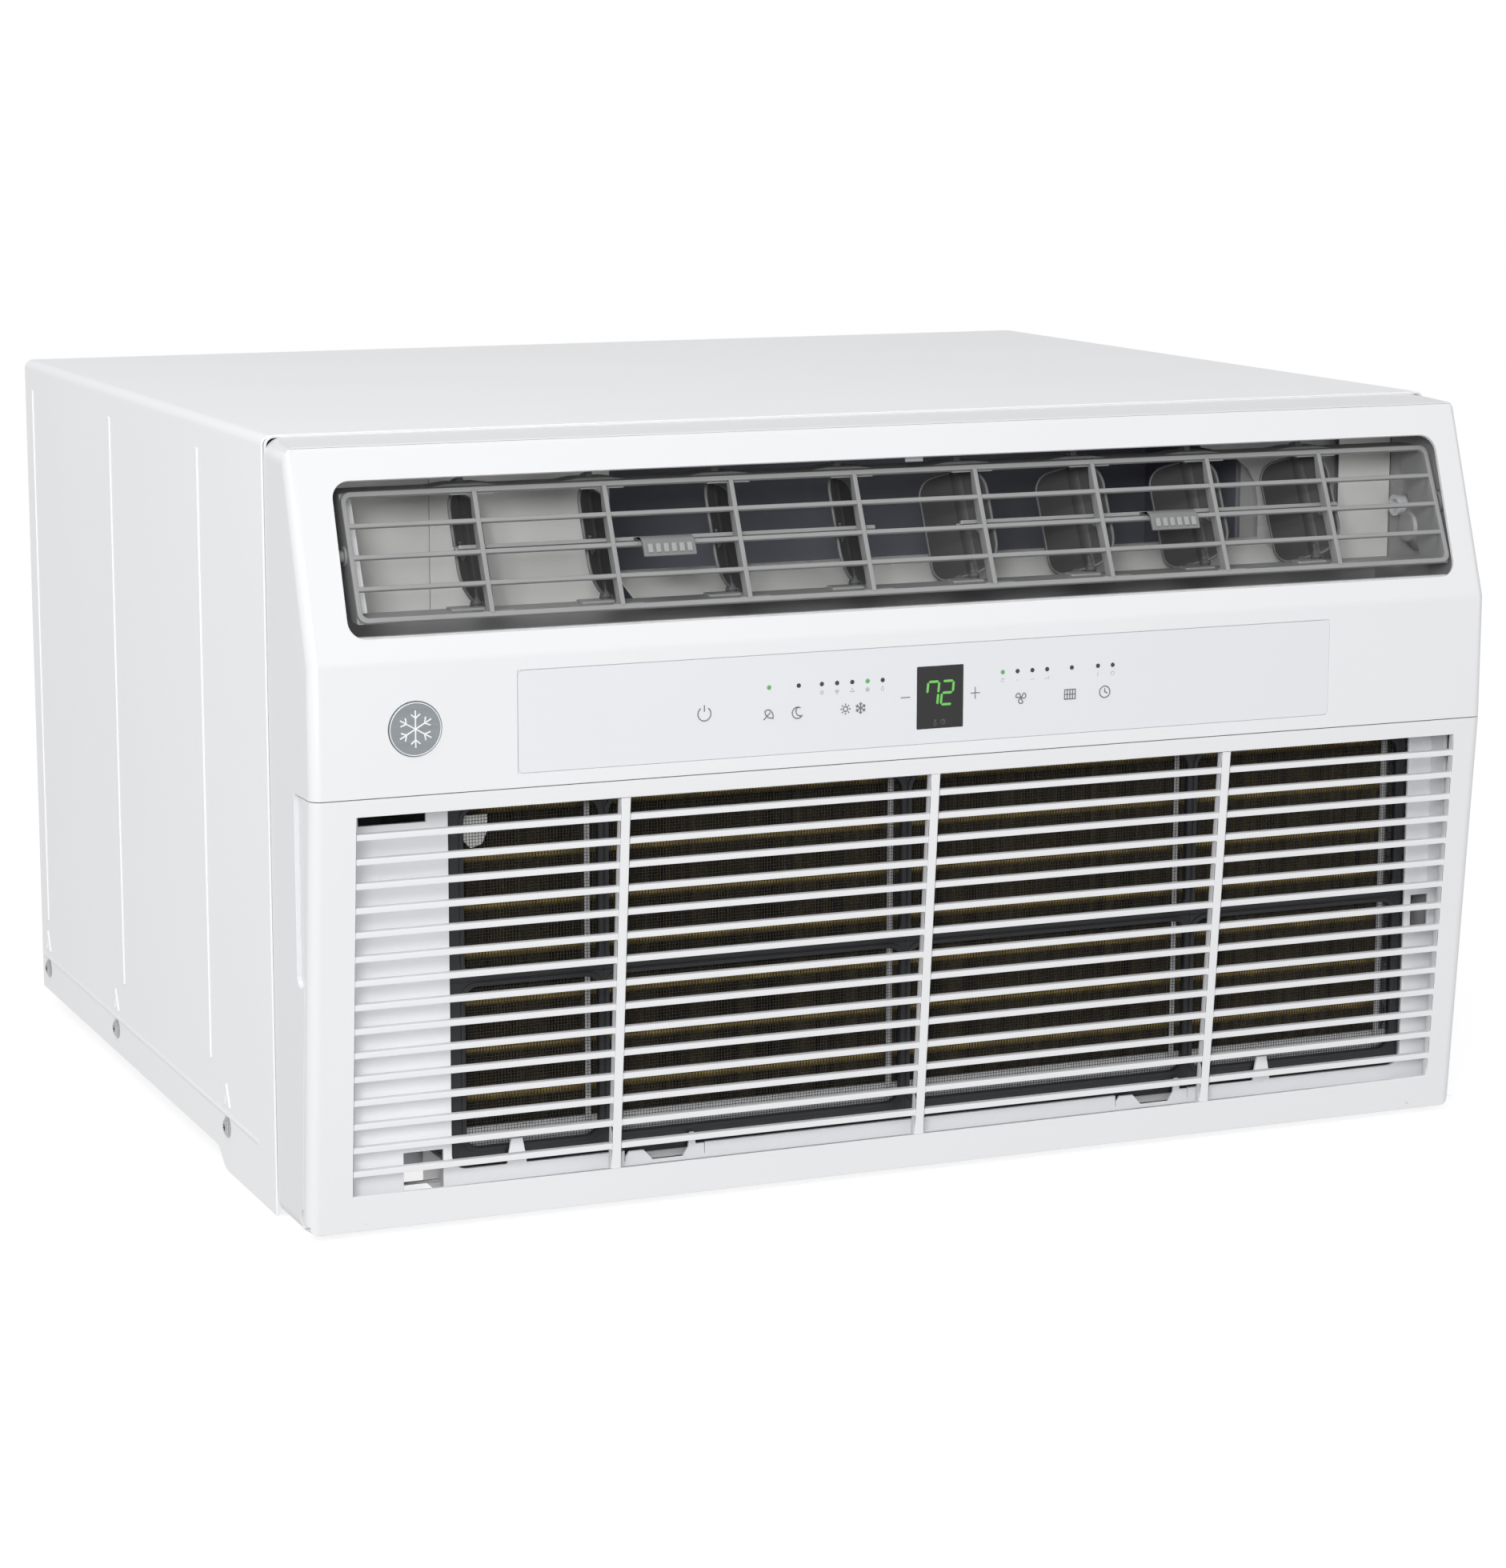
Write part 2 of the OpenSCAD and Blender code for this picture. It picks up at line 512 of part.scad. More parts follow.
// rotor
module fan_shaft() color(steel) unit() rod_y(112, 498, fan_x, fan_z, 10);
module blower_wheel() color(black) unit() translate([fan_x, 0, fan_z]) difference() {
  union() {
    rod_y(114, 118, 0, 0, 2 * wheel_r);
    rod_y(186, 190, 0, 0, 2 * wheel_r);
    rod_y(160, 190, 0, 0, 26);
    for (i = [0 : blade_count - 1]) rotate([0, i * 360 / blade_count, 0]) translate([wheel_r - 22, 117, -1])
      rotate([0, 25, 0]) cube([20, 70, 1.6]);
  }
  rod_y(113, 118.01, 0, 0, 2 * wheel_r - 50);
  rod_y(110, 195, 0, 0, 10.2);
}
module condenser_fan() color(black) unit() translate([fan_x, 0, fan_z]) difference() {
  union() {
    rod_y(445, 492, 0, 0, 70);
    difference() {
      rod_y(470, 480, 0, 0, 2 * prop_r);
      rod_y(469, 481, 0, 0, 2 * prop_r - 6);
    }
    for (i = [0 : 4]) rotate([0, i * 72, 0]) translate([30, 468, -30]) rotate([28, 0, 0])
      cube([prop_r - 33, 2.4, 62]);
  }
  rod_y(440, 495, 0, 0, 10.2);
}

sleeve_wrapper();
base_pan();
rear_guard();
sleeve_screws();
front_bezel();
inner_front_panel();
grille_hinge_clips();
control_overlay();
key_carrier();
control_board();
display_module();
indicator_leds();
badge();
evaporator_fins();
evaporator_tubes();
condenser_fins();
condenser_tubes();
compressor();
compressor_grommets();
compressor_studs();
suction_line();
discharge_line();
capillary_line();
bulkhead();
blower_scroll();
discharge_plenum();
louver_bushes();
fan_motor();
motor_bracket();
condenser_shroud();
control_box();
run_capacitor();
heater_rack();
drip_tray();
cord_gland();
intake_grille();
air_filter();
louver_frame();
vane(0);  // vane_1
vane(1);  // vane_2
vane(2);  // vane_3
vane(3);  // vane_4
vane(4);  // vane_5
vane(5);  // vane_6
vane(6);  // vane_7
vane(7);  // vane_8
link_bar(0, 3, -143, 1);  // left_link_bar
link_bar(4, 7, 142, -1);  // right_link_bar
fan_shaft();
blower_wheel();
condenser_fan();
key(0);  // power_key
key(1);  // eco_key
key(2);  // sleep_key
key(3);  // mode_key
key(4);  // minus_key
key(5);  // plus_key
key(6);  // fan_speed_key
key(7);  // filter_key
key(8);  // timer_key
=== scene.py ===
import math

import bmesh
import bpy
from mathutils import Matrix, Vector

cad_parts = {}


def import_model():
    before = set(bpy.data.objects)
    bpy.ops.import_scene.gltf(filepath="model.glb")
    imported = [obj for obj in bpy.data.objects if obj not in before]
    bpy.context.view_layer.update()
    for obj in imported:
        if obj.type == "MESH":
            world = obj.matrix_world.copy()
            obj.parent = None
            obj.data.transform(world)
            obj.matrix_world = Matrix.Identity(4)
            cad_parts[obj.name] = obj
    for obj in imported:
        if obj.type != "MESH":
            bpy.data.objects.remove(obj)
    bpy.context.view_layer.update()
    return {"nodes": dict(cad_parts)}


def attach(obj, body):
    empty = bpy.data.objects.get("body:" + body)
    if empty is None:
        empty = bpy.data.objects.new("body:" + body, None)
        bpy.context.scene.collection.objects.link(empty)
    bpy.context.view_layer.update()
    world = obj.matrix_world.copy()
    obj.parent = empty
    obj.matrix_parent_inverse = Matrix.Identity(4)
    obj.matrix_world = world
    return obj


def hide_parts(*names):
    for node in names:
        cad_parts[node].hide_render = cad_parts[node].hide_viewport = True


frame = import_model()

cad_nodes = frame["nodes"]
rad = math.radians


def shift(x, y, z):
    return Matrix.Translation((x, y, z))


def turn(deg, axis):
    return Matrix.Rotation(rad(deg), 4, axis)


# Shapes are drawn in millimetres: x to the right, y back from the front face, z up from the base.
# MM brings them to the frame, whose origin is under the middle of the part.
HALF_DEPTH = 286.5
MM = Matrix.Scale(0.001, 4) @ shift(0, -HALF_DEPTH, 0)

# the sloping face that holds the outlet, and the louver's tilt axis in it
SLOPE_RUN, SLOPE_RISE, SLOPE_FOOT_Z = 36, 101.1, 290.6
SLOPE_DEG = math.degrees(math.atan2(SLOPE_RUN, SLOPE_RISE))
SLOPE = shift(0, 0, SLOPE_FOOT_Z) @ turn(-SLOPE_DEG, "X")
LOUVER_LEAN_DEG = 5
LOUVER = SLOPE @ shift(5, 12, 55.5) @ turn(-LOUVER_LEAN_DEG, "X")

VANES = 8
VANE_PITCH = 68.2
VANE_X = [(i - (VANES - 1) / 2) * VANE_PITCH for i in range(VANES)]
VANE_REST_DEG = 42
AXLE_Y = 15
PEG_Y = -10


# ---------------------------------------------------------------- camera, lights, world
CAMERA_PLACE = (-0.883523, -2.129229, 0.588529)
CAMERA_HEADING, CAMERA_DIP, CAMERA_ROLL = 0.4022008928, 0.1831074163, 0.0014752225
LENS_MM, SENSOR_MM = 93.17, 36


def camera():
    flat = math.cos(CAMERA_DIP)
    look = Vector((math.sin(CAMERA_HEADING) * flat, math.cos(CAMERA_HEADING) * flat, -math.sin(CAMERA_DIP)))
    level = look.cross(Vector((0, 0, 1))).normalized()
    upright = level.cross(look)
    c, s = math.cos(CAMERA_ROLL), math.sin(CAMERA_ROLL)
    right, up = c * level + s * upright, -s * level + c * upright
    placing = Matrix((right, up, -look)).transposed().to_4x4()
    placing.translation = CAMERA_PLACE
    data = bpy.data.cameras.new("camera")
    data.lens, data.sensor_width, data.sensor_fit = LENS_MM, SENSOR_MM, "AUTO"
    data.clip_start, data.clip_end = 0.05, 60
    o = bpy.data.objects.new("camera", data)
    o.matrix_world = placing
    bpy.context.scene.collection.objects.link(o)
    bpy.context.scene.camera = o


def area(name, place, target, size, power):
    light = bpy.data.lights.new(name, "AREA")
    light.energy, light.size = power, size
    o = bpy.data.objects.new(name, light)
    o.location = place
    o.rotation_euler = (Vector(target) - Vector(place)).to_track_quat("-Z", "Y").to_euler()
    bpy.context.scene.collection.objects.link(o)


SEEN_STRENGTH = 1.05
SKY = {"From Min": -0.3, "From Max": 0.1, "To Min": 0.80, "To Max": 0.66}


def world():
    """the camera sees plain white; the part is lit by a sky that is a little brighter from below"""
    w = bpy.data.worlds.new("studio")
    bpy.context.scene.world = w
    w.use_nodes = True
    nt = w.node_tree
    nt.nodes.clear()
    out = nt.nodes.new("ShaderNodeOutputWorld")
    path = nt.nodes.new("ShaderNodeLightPath")
    lit = nt.nodes.new("ShaderNodeBackground")
    seen = nt.nodes.new("ShaderNodeBackground")
    for background in (lit, seen):
        background.inputs["Color"].default_value = (1, 1, 1, 1)
    seen.inputs["Strength"].default_value = SEEN_STRENGTH
    mix = nt.nodes.new("ShaderNodeMixShader")
    coords = nt.nodes.new("ShaderNodeTexCoord")
    split = nt.nodes.new("ShaderNodeSeparateXYZ")
    height = nt.nodes.new("ShaderNodeMapRange")
    for key, value in SKY.items():
        height.inputs[key].default_value = value
    nt.links.new(coords.outputs["Generated"], split.inputs[0])
    nt.links.new(split.outputs["Z"], height.inputs["Value"])
    nt.links.new(height.outputs[0], lit.inputs["Strength"])
    nt.links.new(path.outputs["Is Camera Ray"], mix.inputs[0])
    nt.links.new(lit.outputs[0], mix.inputs[1])
    nt.links.new(seen.outputs[0], mix.inputs[2])
    nt.links.new(mix.outputs[0], out.inputs[0])


# ---------------------------------------------------------------- materials
MATERIALS = {}
ROUGH_SPREAD = 0.05
BUMP_DISTANCE = 0.0004


def material(name, color, rough, var, scale, stretch=(1, 1, 1), bump=0.04, fine=700, kind="noise",
             second=None, **sockets):
    """a Principled material: a soft change of colour and roughness, and a fine bump.
    scale and fine are the two textures' scales; the colour runs from second to color."""
    m = bpy.data.materials.new(name)
    m.use_nodes = True
    nt = m.node_tree
    shader = nt.nodes["Principled BSDF"]
    coords = nt.nodes.new("ShaderNodeTexCoord")
    mapping = nt.nodes.new("ShaderNodeMapping")
    mapping.inputs["Scale"].default_value = stretch
    nt.links.new(coords.outputs["Object"], mapping.inputs["Vector"])
    if kind == "cells":
        cells = nt.nodes.new("ShaderNodeTexVoronoi")
        cells.inputs["Scale"].default_value = scale
        grey = nt.nodes.new("ShaderNodeRGBToBW")
        nt.links.new(mapping.outputs[0], cells.inputs["Vector"])
        nt.links.new(cells.outputs["Color"], grey.inputs[0])
        pattern = grey.outputs[0]
    else:
        noise = nt.nodes.new("ShaderNodeTexNoise")
        noise.inputs["Scale"].default_value = scale
        noise.inputs["Detail"].default_value = 4
        nt.links.new(mapping.outputs[0], noise.inputs["Vector"])
        pattern = noise.outputs["Fac"]
    ramp = nt.nodes.new("ShaderNodeValToRGB")
    low, high = ramp.color_ramp.elements
    other = second or [c * (1 - 2 * var) for c in color]
    low.position, high.position = (0.3, 0.7)
    low.color, high.color = (*other, 1), (*color, 1)
    nt.links.new(pattern, ramp.inputs[0])
    nt.links.new(ramp.outputs[0], shader.inputs["Base Color"])
    spread = nt.nodes.new("ShaderNodeMapRange")
    spread.inputs["To Min"].default_value = max(0.03, rough - ROUGH_SPREAD)
    spread.inputs["To Max"].default_value = min(1, rough + ROUGH_SPREAD)
    nt.links.new(pattern, spread.inputs["Value"])
    nt.links.new(spread.outputs[0], shader.inputs["Roughness"])
    grain = nt.nodes.new("ShaderNodeTexNoise")
    grain.inputs["Scale"].default_value = fine
    grain.inputs["Detail"].default_value = 3
    nt.links.new(mapping.outputs[0], grain.inputs["Vector"])
    relief = nt.nodes.new("ShaderNodeBump")
    relief.inputs["Strength"].default_value = bump
    relief.inputs["Distance"].default_value = BUMP_DISTANCE
    nt.links.new(grain.outputs["Fac"], relief.inputs["Height"])
    nt.links.new(relief.outputs[0], shader.inputs["Normal"])
    for key, value in sockets.items():
        shader.inputs[key.replace("_", " ")].default_value = value
    MATERIALS[name] = m
    return m


# paint and plastic
material("steel_white", (0.85, 0.855, 0.868), 0.55, 0.006, 9, bump=0.06, fine=420)
material("plastic_white", (0.755, 0.76, 0.775), 0.33, 0.005, 12, bump=0.04, fine=900)
material("inner_white", (0.93, 0.933, 0.955), 0.45, 0.008, 14, bump=0.08, fine=900)
material("film", (0.715, 0.73, 0.757), 0.38, 0.005, 20, bump=0.05, fine=1300)
material("tray", (0.72, 0.72, 0.73), 0.5, 0.02, 30, bump=0.08, fine=700)
material("key", (0.75, 0.75, 0.76), 0.45, 0.01, 80, bump=0.06, fine=1200)
material("strip", (0.60, 0.60, 0.61), 0.5, 0.06, 260, bump=0.1, fine=900)
material("smoke", (0.34, 0.345, 0.35), 0.3, 0.03, 60, bump=0.03, fine=900)
material("grey", (0.30, 0.302, 0.303), 0.42, 0.03, 45, bump=0.08, fine=1100)
material("grip", (0.205, 0.206, 0.208), 0.42, 0.03, 45, bump=0.08, fine=1100)
# the vanes' rims are the plates' own dark plastic; their lighter grey is a painted highlight on the rounded
# edges
material("rim_painted_highlight", (0.17, 0.17, 0.172), 0.42, 0.03, 45, bump=0.08, fine=1100)
material("grey_dark", (0.11, 0.112, 0.117), 0.5, 0.04, 30, bump=0.1, fine=900)
material("vane", (0.065, 0.062, 0.062), 0.45, 0.06, 30, bump=0.1, fine=900)
material("duct", (0.42, 0.415, 0.42), 0.5, 0.06, 14, bump=0.1, fine=700)
material("scroll", (0.30, 0.31, 0.37), 0.45, 0.10, 10, bump=0.12, fine=600)
material("black", (0.022, 0.023, 0.026), 0.42, 0.08, 60, bump=0.12, fine=900)
material("mesh", (0.045, 0.047, 0.052), 0.5, 0.08, 200, bump=0.1, fine=1500)
material("rubber", (0.025, 0.025, 0.025), 0.8, 0.1, 60, bump=0.2, fine=900)
material("enamel", (0.02, 0.02, 0.022), 0.22, 0.1, 30, bump=0.05, fine=350, Coat_Weight=0.5)
# metal
material("galvanised", (0.60, 0.61, 0.62), 0.38, 0.07, 90, kind="cells", bump=0.05, fine=500, Metallic=0.85)
material("silver", (0.93, 0.93, 0.91), 0.42, 0.03, 22, bump=0.05, fine=500, Metallic=0.05)
material("screw", (0.62, 0.62, 0.63), 0.3, 0.05, 200, bump=0.05, fine=1500, Metallic=0.9)
material("motor", (0.12, 0.125, 0.13), 0.4, 0.08, 40, bump=0.08, fine=500, Metallic=0.3)
material("copper", (0.62, 0.30, 0.16), 0.3, 0.12, 40, bump=0.04, fine=400, Metallic=0.9)
material("tube_gold", (0.46, 0.33, 0.09), 0.35, 0.15, 60, bump=0.1, fine=300, Metallic=0.4)
material("fin_alu", (0.70, 0.71, 0.72), 0.38, 0.06, 60, bump=0.05, fine=300, Metallic=0.9)
material("fin_gold", (0.34, 0.275, 0.14), 0.4, 0.2, 260, (1, 1, 0.02), bump=0.1, fine=300,
         second=(0.07, 0.05, 0.028), Metallic=0.3)
# display, indicators and marks
material("board", (0.02, 0.12, 0.05), 0.35, 0.1, 150, bump=0.2, fine=900)
material("glass_black", (0.012, 0.011, 0.011), 0.16, 0.05, 60, bump=0.01, fine=900, Coat_Weight=0.4)
material("digit", (0.10, 0.36, 0.07), 0.4, 0.05, 300, bump=0.02, fine=1500,
         Emission_Color=(0.12, 0.42, 0.08, 1), Emission_Strength=0.55)
material("led_on", (0.10, 0.33, 0.10), 0.3, 0.05, 500, bump=0.02, fine=1500,
         Emission_Color=(0.08, 0.35, 0.08, 1), Emission_Strength=0.25)
material("led_off", (0.045, 0.045, 0.05), 0.3, 0.05, 500, bump=0.02, fine=1500)
material("ink", (0.17, 0.175, 0.18), 0.5, 0.05, 300, bump=0.02, fine=1500)
material("ink_light", (0.42, 0.425, 0.435), 0.5, 0.04, 300, bump=0.02, fine=1500)
material("badge", (0.30, 0.33, 0.35), 0.3, 0.05, 40, (1, 1, 14), bump=0.05, fine=900, Metallic=0.35)
material("badge_mark", (0.82, 0.83, 0.84), 0.3, 0.01, 90, bump=0.02, fine=900)


# ---------------------------------------------------------------- outlines
def on_circle(cx, cz, r, deg):
    return (cx + r * math.cos(rad(deg)), cz + r * math.sin(rad(deg)))


def arc(cx, cz, r, start, stop, n=16):
    return [on_circle(cx, cz, r, start + (stop - start) * i / n) for i in range(n + 1)]


def disc(cx, cz, r, n):
    return arc(cx, cz, r, 0, 360, n)[:-1]


def rounded(x0, x1, z0, z1, r, n=6):
    """a rectangle with rounded corners, each of n steps; the last corner is the one at x0, z0"""
    corners = ((x1 - r, z0 + r, -90), (x1 - r, z1 - r, 0), (x0 + r, z1 - r, 90), (x0 + r, z0 + r, 180))
    return [p for cx, cz, start in corners for p in arc(cx, cz, r, start, start + 90, n)]


def inset(x0, x1, z0, z1, by):
    return x0 + by, x1 - by, z0 + by, z1 - by


def steps(start, stop, pitch):
    while start < stop:
        yield start
        start += pitch


# ---------------------------------------------------------------- mesh kit
AXES = {"x": lambda u, v, a: (a, u, v), "y": lambda u, v, a: (u, a, v), "z": lambda u, v, a: (u, v, a)}


class Kit:
    def __init__(self, place=None):
        self.bm = bmesh.new()
        self.place = place or Matrix()

    def put(self, points, faces, spot=None):
        whole = self.place @ spot if spot else self.place
        verts = [self.bm.verts.new(whole @ Vector(p)) for p in points]
        for face in faces:
            self.bm.faces.new([verts[i] for i in face])
        return self

    def prism(self, outline, axis, a, b, spot=None):
        n, at = len(outline), AXES[axis]
        points = [at(u, v, a) for u, v in outline] + [at(u, v, b) for u, v in outline]
        faces = [tuple(range(n)), tuple(range(2 * n - 1, n - 1, -1))]
        faces += [(i, (i + 1) % n, n + (i + 1) % n, n + i) for i in range(n)]
        return self.put(points, faces, spot)

    def box(self, x0, x1, y0, y1, z0, z1, spot=None):
        return self.prism([(x0, z0), (x1, z0), (x1, z1), (x0, z1)], "y", y0, y1, spot)

    def ring(self, outer, inner, axis, a, b):
        n, at = len(outer), AXES[axis]
        points = [at(u, v, w) for w in (a, b) for line in (outer, inner) for u, v in line]
        faces = []
        for i in range(n):
            j = (i + 1) % n
            faces += [(i, j, n + j, n + i), (2 * n + i, 2 * n + j, 3 * n + j, 3 * n + i),
                      (i, j, 2 * n + j, 2 * n + i), (n + i, n + j, 3 * n + j, 3 * n + i)]
        return self.put(points, faces)

    def lathe(self, profile, n=32, spot=None):
        """profile: (radius, height) pairs about local z; an end that is off the axis gets a flat cap"""
        points, rows = [], []
        for r, h in profile:
            if r < 1e-6:
                rows.append([len(points)])
                points.append((0, 0, h))
            else:
                rows.append(list(range(len(points), len(points) + n)))
                points += [(*p, h) for p in disc(0, 0, r, n)]
        faces = []
        for a, b in zip(rows, rows[1:]):
            for i in range(n):
                j = (i + 1) % n
                if len(a) == 1:
                    faces.append((a[0], b[i], b[j]))
                elif len(b) == 1:
                    faces.append((a[i], a[j], b[0]))
                else:
                    faces.append((a[i], a[j], b[j], b[i]))
        faces += [tuple(row) for row in (rows[0], rows[-1]) if len(row) > 1]
        return self.put(points, faces, spot)

    def tube(self, path, r, n=8, closed=False):
        """a round tube along path, mitred at its corners"""
        path = [Vector(q) for q in path]
        count = len(path)
        points, faces, side = [], [], None
        for i, here in enumerate(path):
            before = path[i - 1] if i or closed else here
            after = path[(i + 1) % count] if i < count - 1 or closed else here
            into = (here - before).normalized() if (here - before).length > 1e-9 else None
            out = (after - here).normalized() if (after - here).length > 1e-9 else None
            along = ((into or out) + (out or into)).normalized()
            if side is None:
                side = along.orthogonal().normalized()
            side = (side - along * side.dot(along)).normalized()
            up = along.cross(side)
            stretch = 1 / max(0.5, along.dot(into or along))
            bend = (out - into) if into and out else Vector()
            bend = bend.normalized() if bend.length > 1e-6 else None
            for j in range(n):
                t = 2 * math.pi * j / n
                offset = side * math.cos(t) * r + up * math.sin(t) * r
                if bend:
                    offset += bend * offset.dot(bend) * (stretch - 1)
                points.append(here + offset)
        for i in range(count if closed else count - 1):
            q = (i + 1) % count
            for j in range(n):
                k = (j + 1) % n
                faces.append((i * n + j, i * n + k, q * n + k, q * n + j))
        if not closed:
            faces += [tuple(range(n)), tuple(range((count - 1) * n, count * n))]
        return self.put(points, faces)

    def rod(self, a, b, r, n=20):
        return self.tube([a, b], r, n)


def soft_shade():
    group = bpy.data.node_groups.new("soft_shade", "GeometryNodeTree")
    group.interface.new_socket("Geometry", in_out="INPUT", socket_type="NodeSocketGeometry")
    group.interface.new_socket("Geometry", in_out="OUTPUT", socket_type="NodeSocketGeometry")
    start = group.nodes.new("NodeGroupInput")
    smooth = group.nodes.new("GeometryNodeSetShadeSmooth")
    end = group.nodes.new("NodeGroupOutput")
    group.links.new(start.outputs[0], smooth.inputs["Geometry"])
    group.links.new(smooth.outputs[0], end.inputs[0])
    return group


SOFT = soft_shade()


def soften(o, bevel, segments, angle):
    """rounds the edges sharper than angle by bevel millimetres and shades the rest smooth"""
    if bevel:
        edge = o.modifiers.new("edge", "BEVEL")
        edge.width, edge.segments = bevel / 1000, segments
        edge.limit_method, edge.angle_limit = "ANGLE", rad(angle)
        edge.use_clamp_overlap = False
        edge.harden_normals = False
    shade = o.modifiers.new("shade", "NODES")
    shade.node_group = SOFT
    normals = o.modifiers.new("normals", "WEIGHTED_NORMAL")
    normals.keep_sharp = False
    normals.weight = 80


def piece(kit, name, body, mat, nodes=(), bevel=0.25, segments=2):
    bmesh.ops.recalc_face_normals(kit.bm, faces=kit.bm.faces)
    kit.bm.transform(MM)
    mesh = bpy.data.meshes.new(name)
    kit.bm.to_mesh(mesh)
    kit.bm.free()
    o = bpy.data.objects.new(name, mesh)
    bpy.context.scene.collection.objects.link(o)
    mesh.materials.append(MATERIALS[mat])
    soften(o, bevel, segments, 35)
    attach(o, body)
    if nodes:
        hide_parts(*nodes)


def keep(node, mat, bevel):
    """a node of the CAD part that shows as it is, with a material and softened edges"""
    o = cad_nodes[node]
    o.data.materials.clear()
    o.data.materials.append(MATERIALS[mat])
    weld = o.modifiers.new("weld", "WELD")
    weld.merge_threshold = 0.00001
    # merging flat faces on the grille leaves dark faces where its slats cross its ribs
    if node != "intake_grille":
        flat = o.modifiers.new("planes", "DECIMATE")
        flat.decimate_type, flat.angle_limit = "DISSOLVE", rad(0.4)
    soften(o, bevel, 2, 40)


# ---------------------------------------------------------------- carried-over nodes
KEPT = {
    "sleeve_wrapper": ("steel_white", 0.35), "base_pan": ("galvanised", 0.3),
    "rear_guard": ("galvanised", 0.2), "front_bezel": ("plastic_white", 0.35),
    "inner_front_panel": ("inner_white", 0.3), "grille_hinge_clips": ("plastic_white", 0.2),
    "control_overlay": ("film", 0.15), "key_carrier": ("grey", 0.2), "control_board": ("board", 0.1),
    "display_module": ("glass_black", 0.2), "evaporator_tubes": ("copper", 0),
    "condenser_tubes": ("copper", 0), "compressor": ("enamel", 0.4),
    "compressor_grommets": ("rubber", 0.4), "compressor_studs": ("screw", 0.3),
    "suction_line": ("copper", 0), "discharge_line": ("copper", 0), "capillary_line": ("copper", 0),
    "bulkhead": ("galvanised", 0.2), "blower_scroll": ("scroll", 0.3), "discharge_plenum": ("duct", 0.3),
    "louver_bushes": ("grey", 0.2), "fan_motor": ("motor", 0.8), "motor_bracket": ("galvanised", 0.2),
    "condenser_shroud": ("grey", 0.3), "control_box": ("galvanised", 0.2),
    "run_capacitor": ("fin_alu", 0.4), "heater_rack": ("galvanised", 0.2), "drip_tray": ("tray", 0.4),
    "cord_gland": ("black", 0.3), "intake_grille": ("plastic_white", 0.35), "fan_shaft": ("screw", 0.3),
    "blower_wheel": ("black", 0.2), "condenser_fan": ("black", 0.2),
}
KEYS = ("power", "eco", "sleep", "mode", "minus", "plus", "fan_speed", "filter", "timer")

for node, (mat, bevel) in KEPT.items():
    keep(node, mat, bevel)
for key in KEYS:
    keep(key + "_key", "key", 0.3)


# ---------------------------------------------------------------- louver
# All of it is drawn about the tilt axis. The louver's plane leans back, but its walls run back level:
# LEVEL shears what is drawn with it, from the walls' front edge on, so that it follows them.
RING = (-307, 307, -36.3, 30.3)
RING_WIDTH = 2.6
RING_Y = (-7.6, -4.2)
WALL = 2
WALL_Y = (-5, 18)
LEAN = math.tan(rad(SLOPE_DEG + LOUVER_LEAN_DEG))
LEVEL = Matrix(((1, 0, 0, 0), (0, 1, 0, 0), (0, LEAN, 1, -WALL_Y[0] * LEAN), (0, 0, 0, 1)))

RAIL_Z, RAIL_HALF, RAIL_Y = (-19, -3, 13), 1.15, (-7.5, -4.4)
POST_HALF = 1.2
POST_SHAPE = [(-7.9, -34.5), (-7.9, 28.5), (-4.6, 28.5), (-2.2, 18), (-1.4, 4), (-1.4, -32.4), (-4.6, -34.2)]


def louver_ring():
    kit = Kit(LOUVER)
    kit.ring(rounded(*RING, 5), rounded(*inset(*RING, RING_WIDTH), 3), "y", *RING_Y)
    piece(kit, "louver_ring", "louver", "grey", ["louver_frame"], 0.6, 3)


def louver_walls():
    kit = Kit(LOUVER @ LEVEL)
    for z in (RING[2], RING[3] - WALL):
        kit.box(-306.2, 306.2, *WALL_Y, z, z + WALL)
    for x in (-306.9, 304.9):
        kit.box(x, x + WALL, *WALL_Y, -36.2, 30.2)
    piece(kit, "louver_walls", "louver", "grey", (), 0.4)


def louver_rails():
    kit = Kit(LOUVER)
    for z in RAIL_Z:
        kit.box(-305, 305, *RAIL_Y, z - RAIL_HALF, z + RAIL_HALF)
    piece(kit, "louver_rails", "louver", "grey", (), 0.55)


def louver_posts():
    kit = Kit(LOUVER)
    for x in VANE_X:
        kit.prism(POST_SHAPE, "x", x - POST_HALF, x + POST_HALF)
    piece(kit, "louver_posts", "louver", "grey", (), 0.35)


def louver_pads():
    """the thick places in the walls that hold the vanes' pins"""
    kit = Kit(LOUVER @ LEVEL)
    for x in VANE_X:
        kit.prism([(x - 19, 30), (x - 8, 31.6), (x + 8, 31.6), (x + 19, 30)], "y", 6, 17.6)
        kit.prism(rounded(x - 15, x + 3, 9, 17.4, 1.5), "z", -34.5, -33.2)
        kit.prism(rounded(x - 3, x + 13, -4.8, -0.8, 1.4), "z", -34.5, -32.9)
        kit.prism(rounded(x - 12, x + 12, -4.8, 1, 1.4), "z", 27, 28.6)
    piece(kit, "louver_pads", "louver", "grey", (), 0.3)


def louver_bearings():
    kit = Kit(LOUVER @ shift(0, AXLE_Y, 0))
    for x in VANE_X:
        kit.lathe([(3.3, 38.6), (3.3, 41.2), (2.6, 41.7), (0, 41.7)], 20, shift(x, 0, 0))
        kit.box(x - 1.8, x + 1.8, -4.6, -1.4, 37, 41.4)
        kit.lathe([(3.2, -29), (3.2, -26.4), (0, -26.4)], 20, shift(x, 0, 0))
    piece(kit, "louver_bearings", "louver", "grey", (), 0.25)


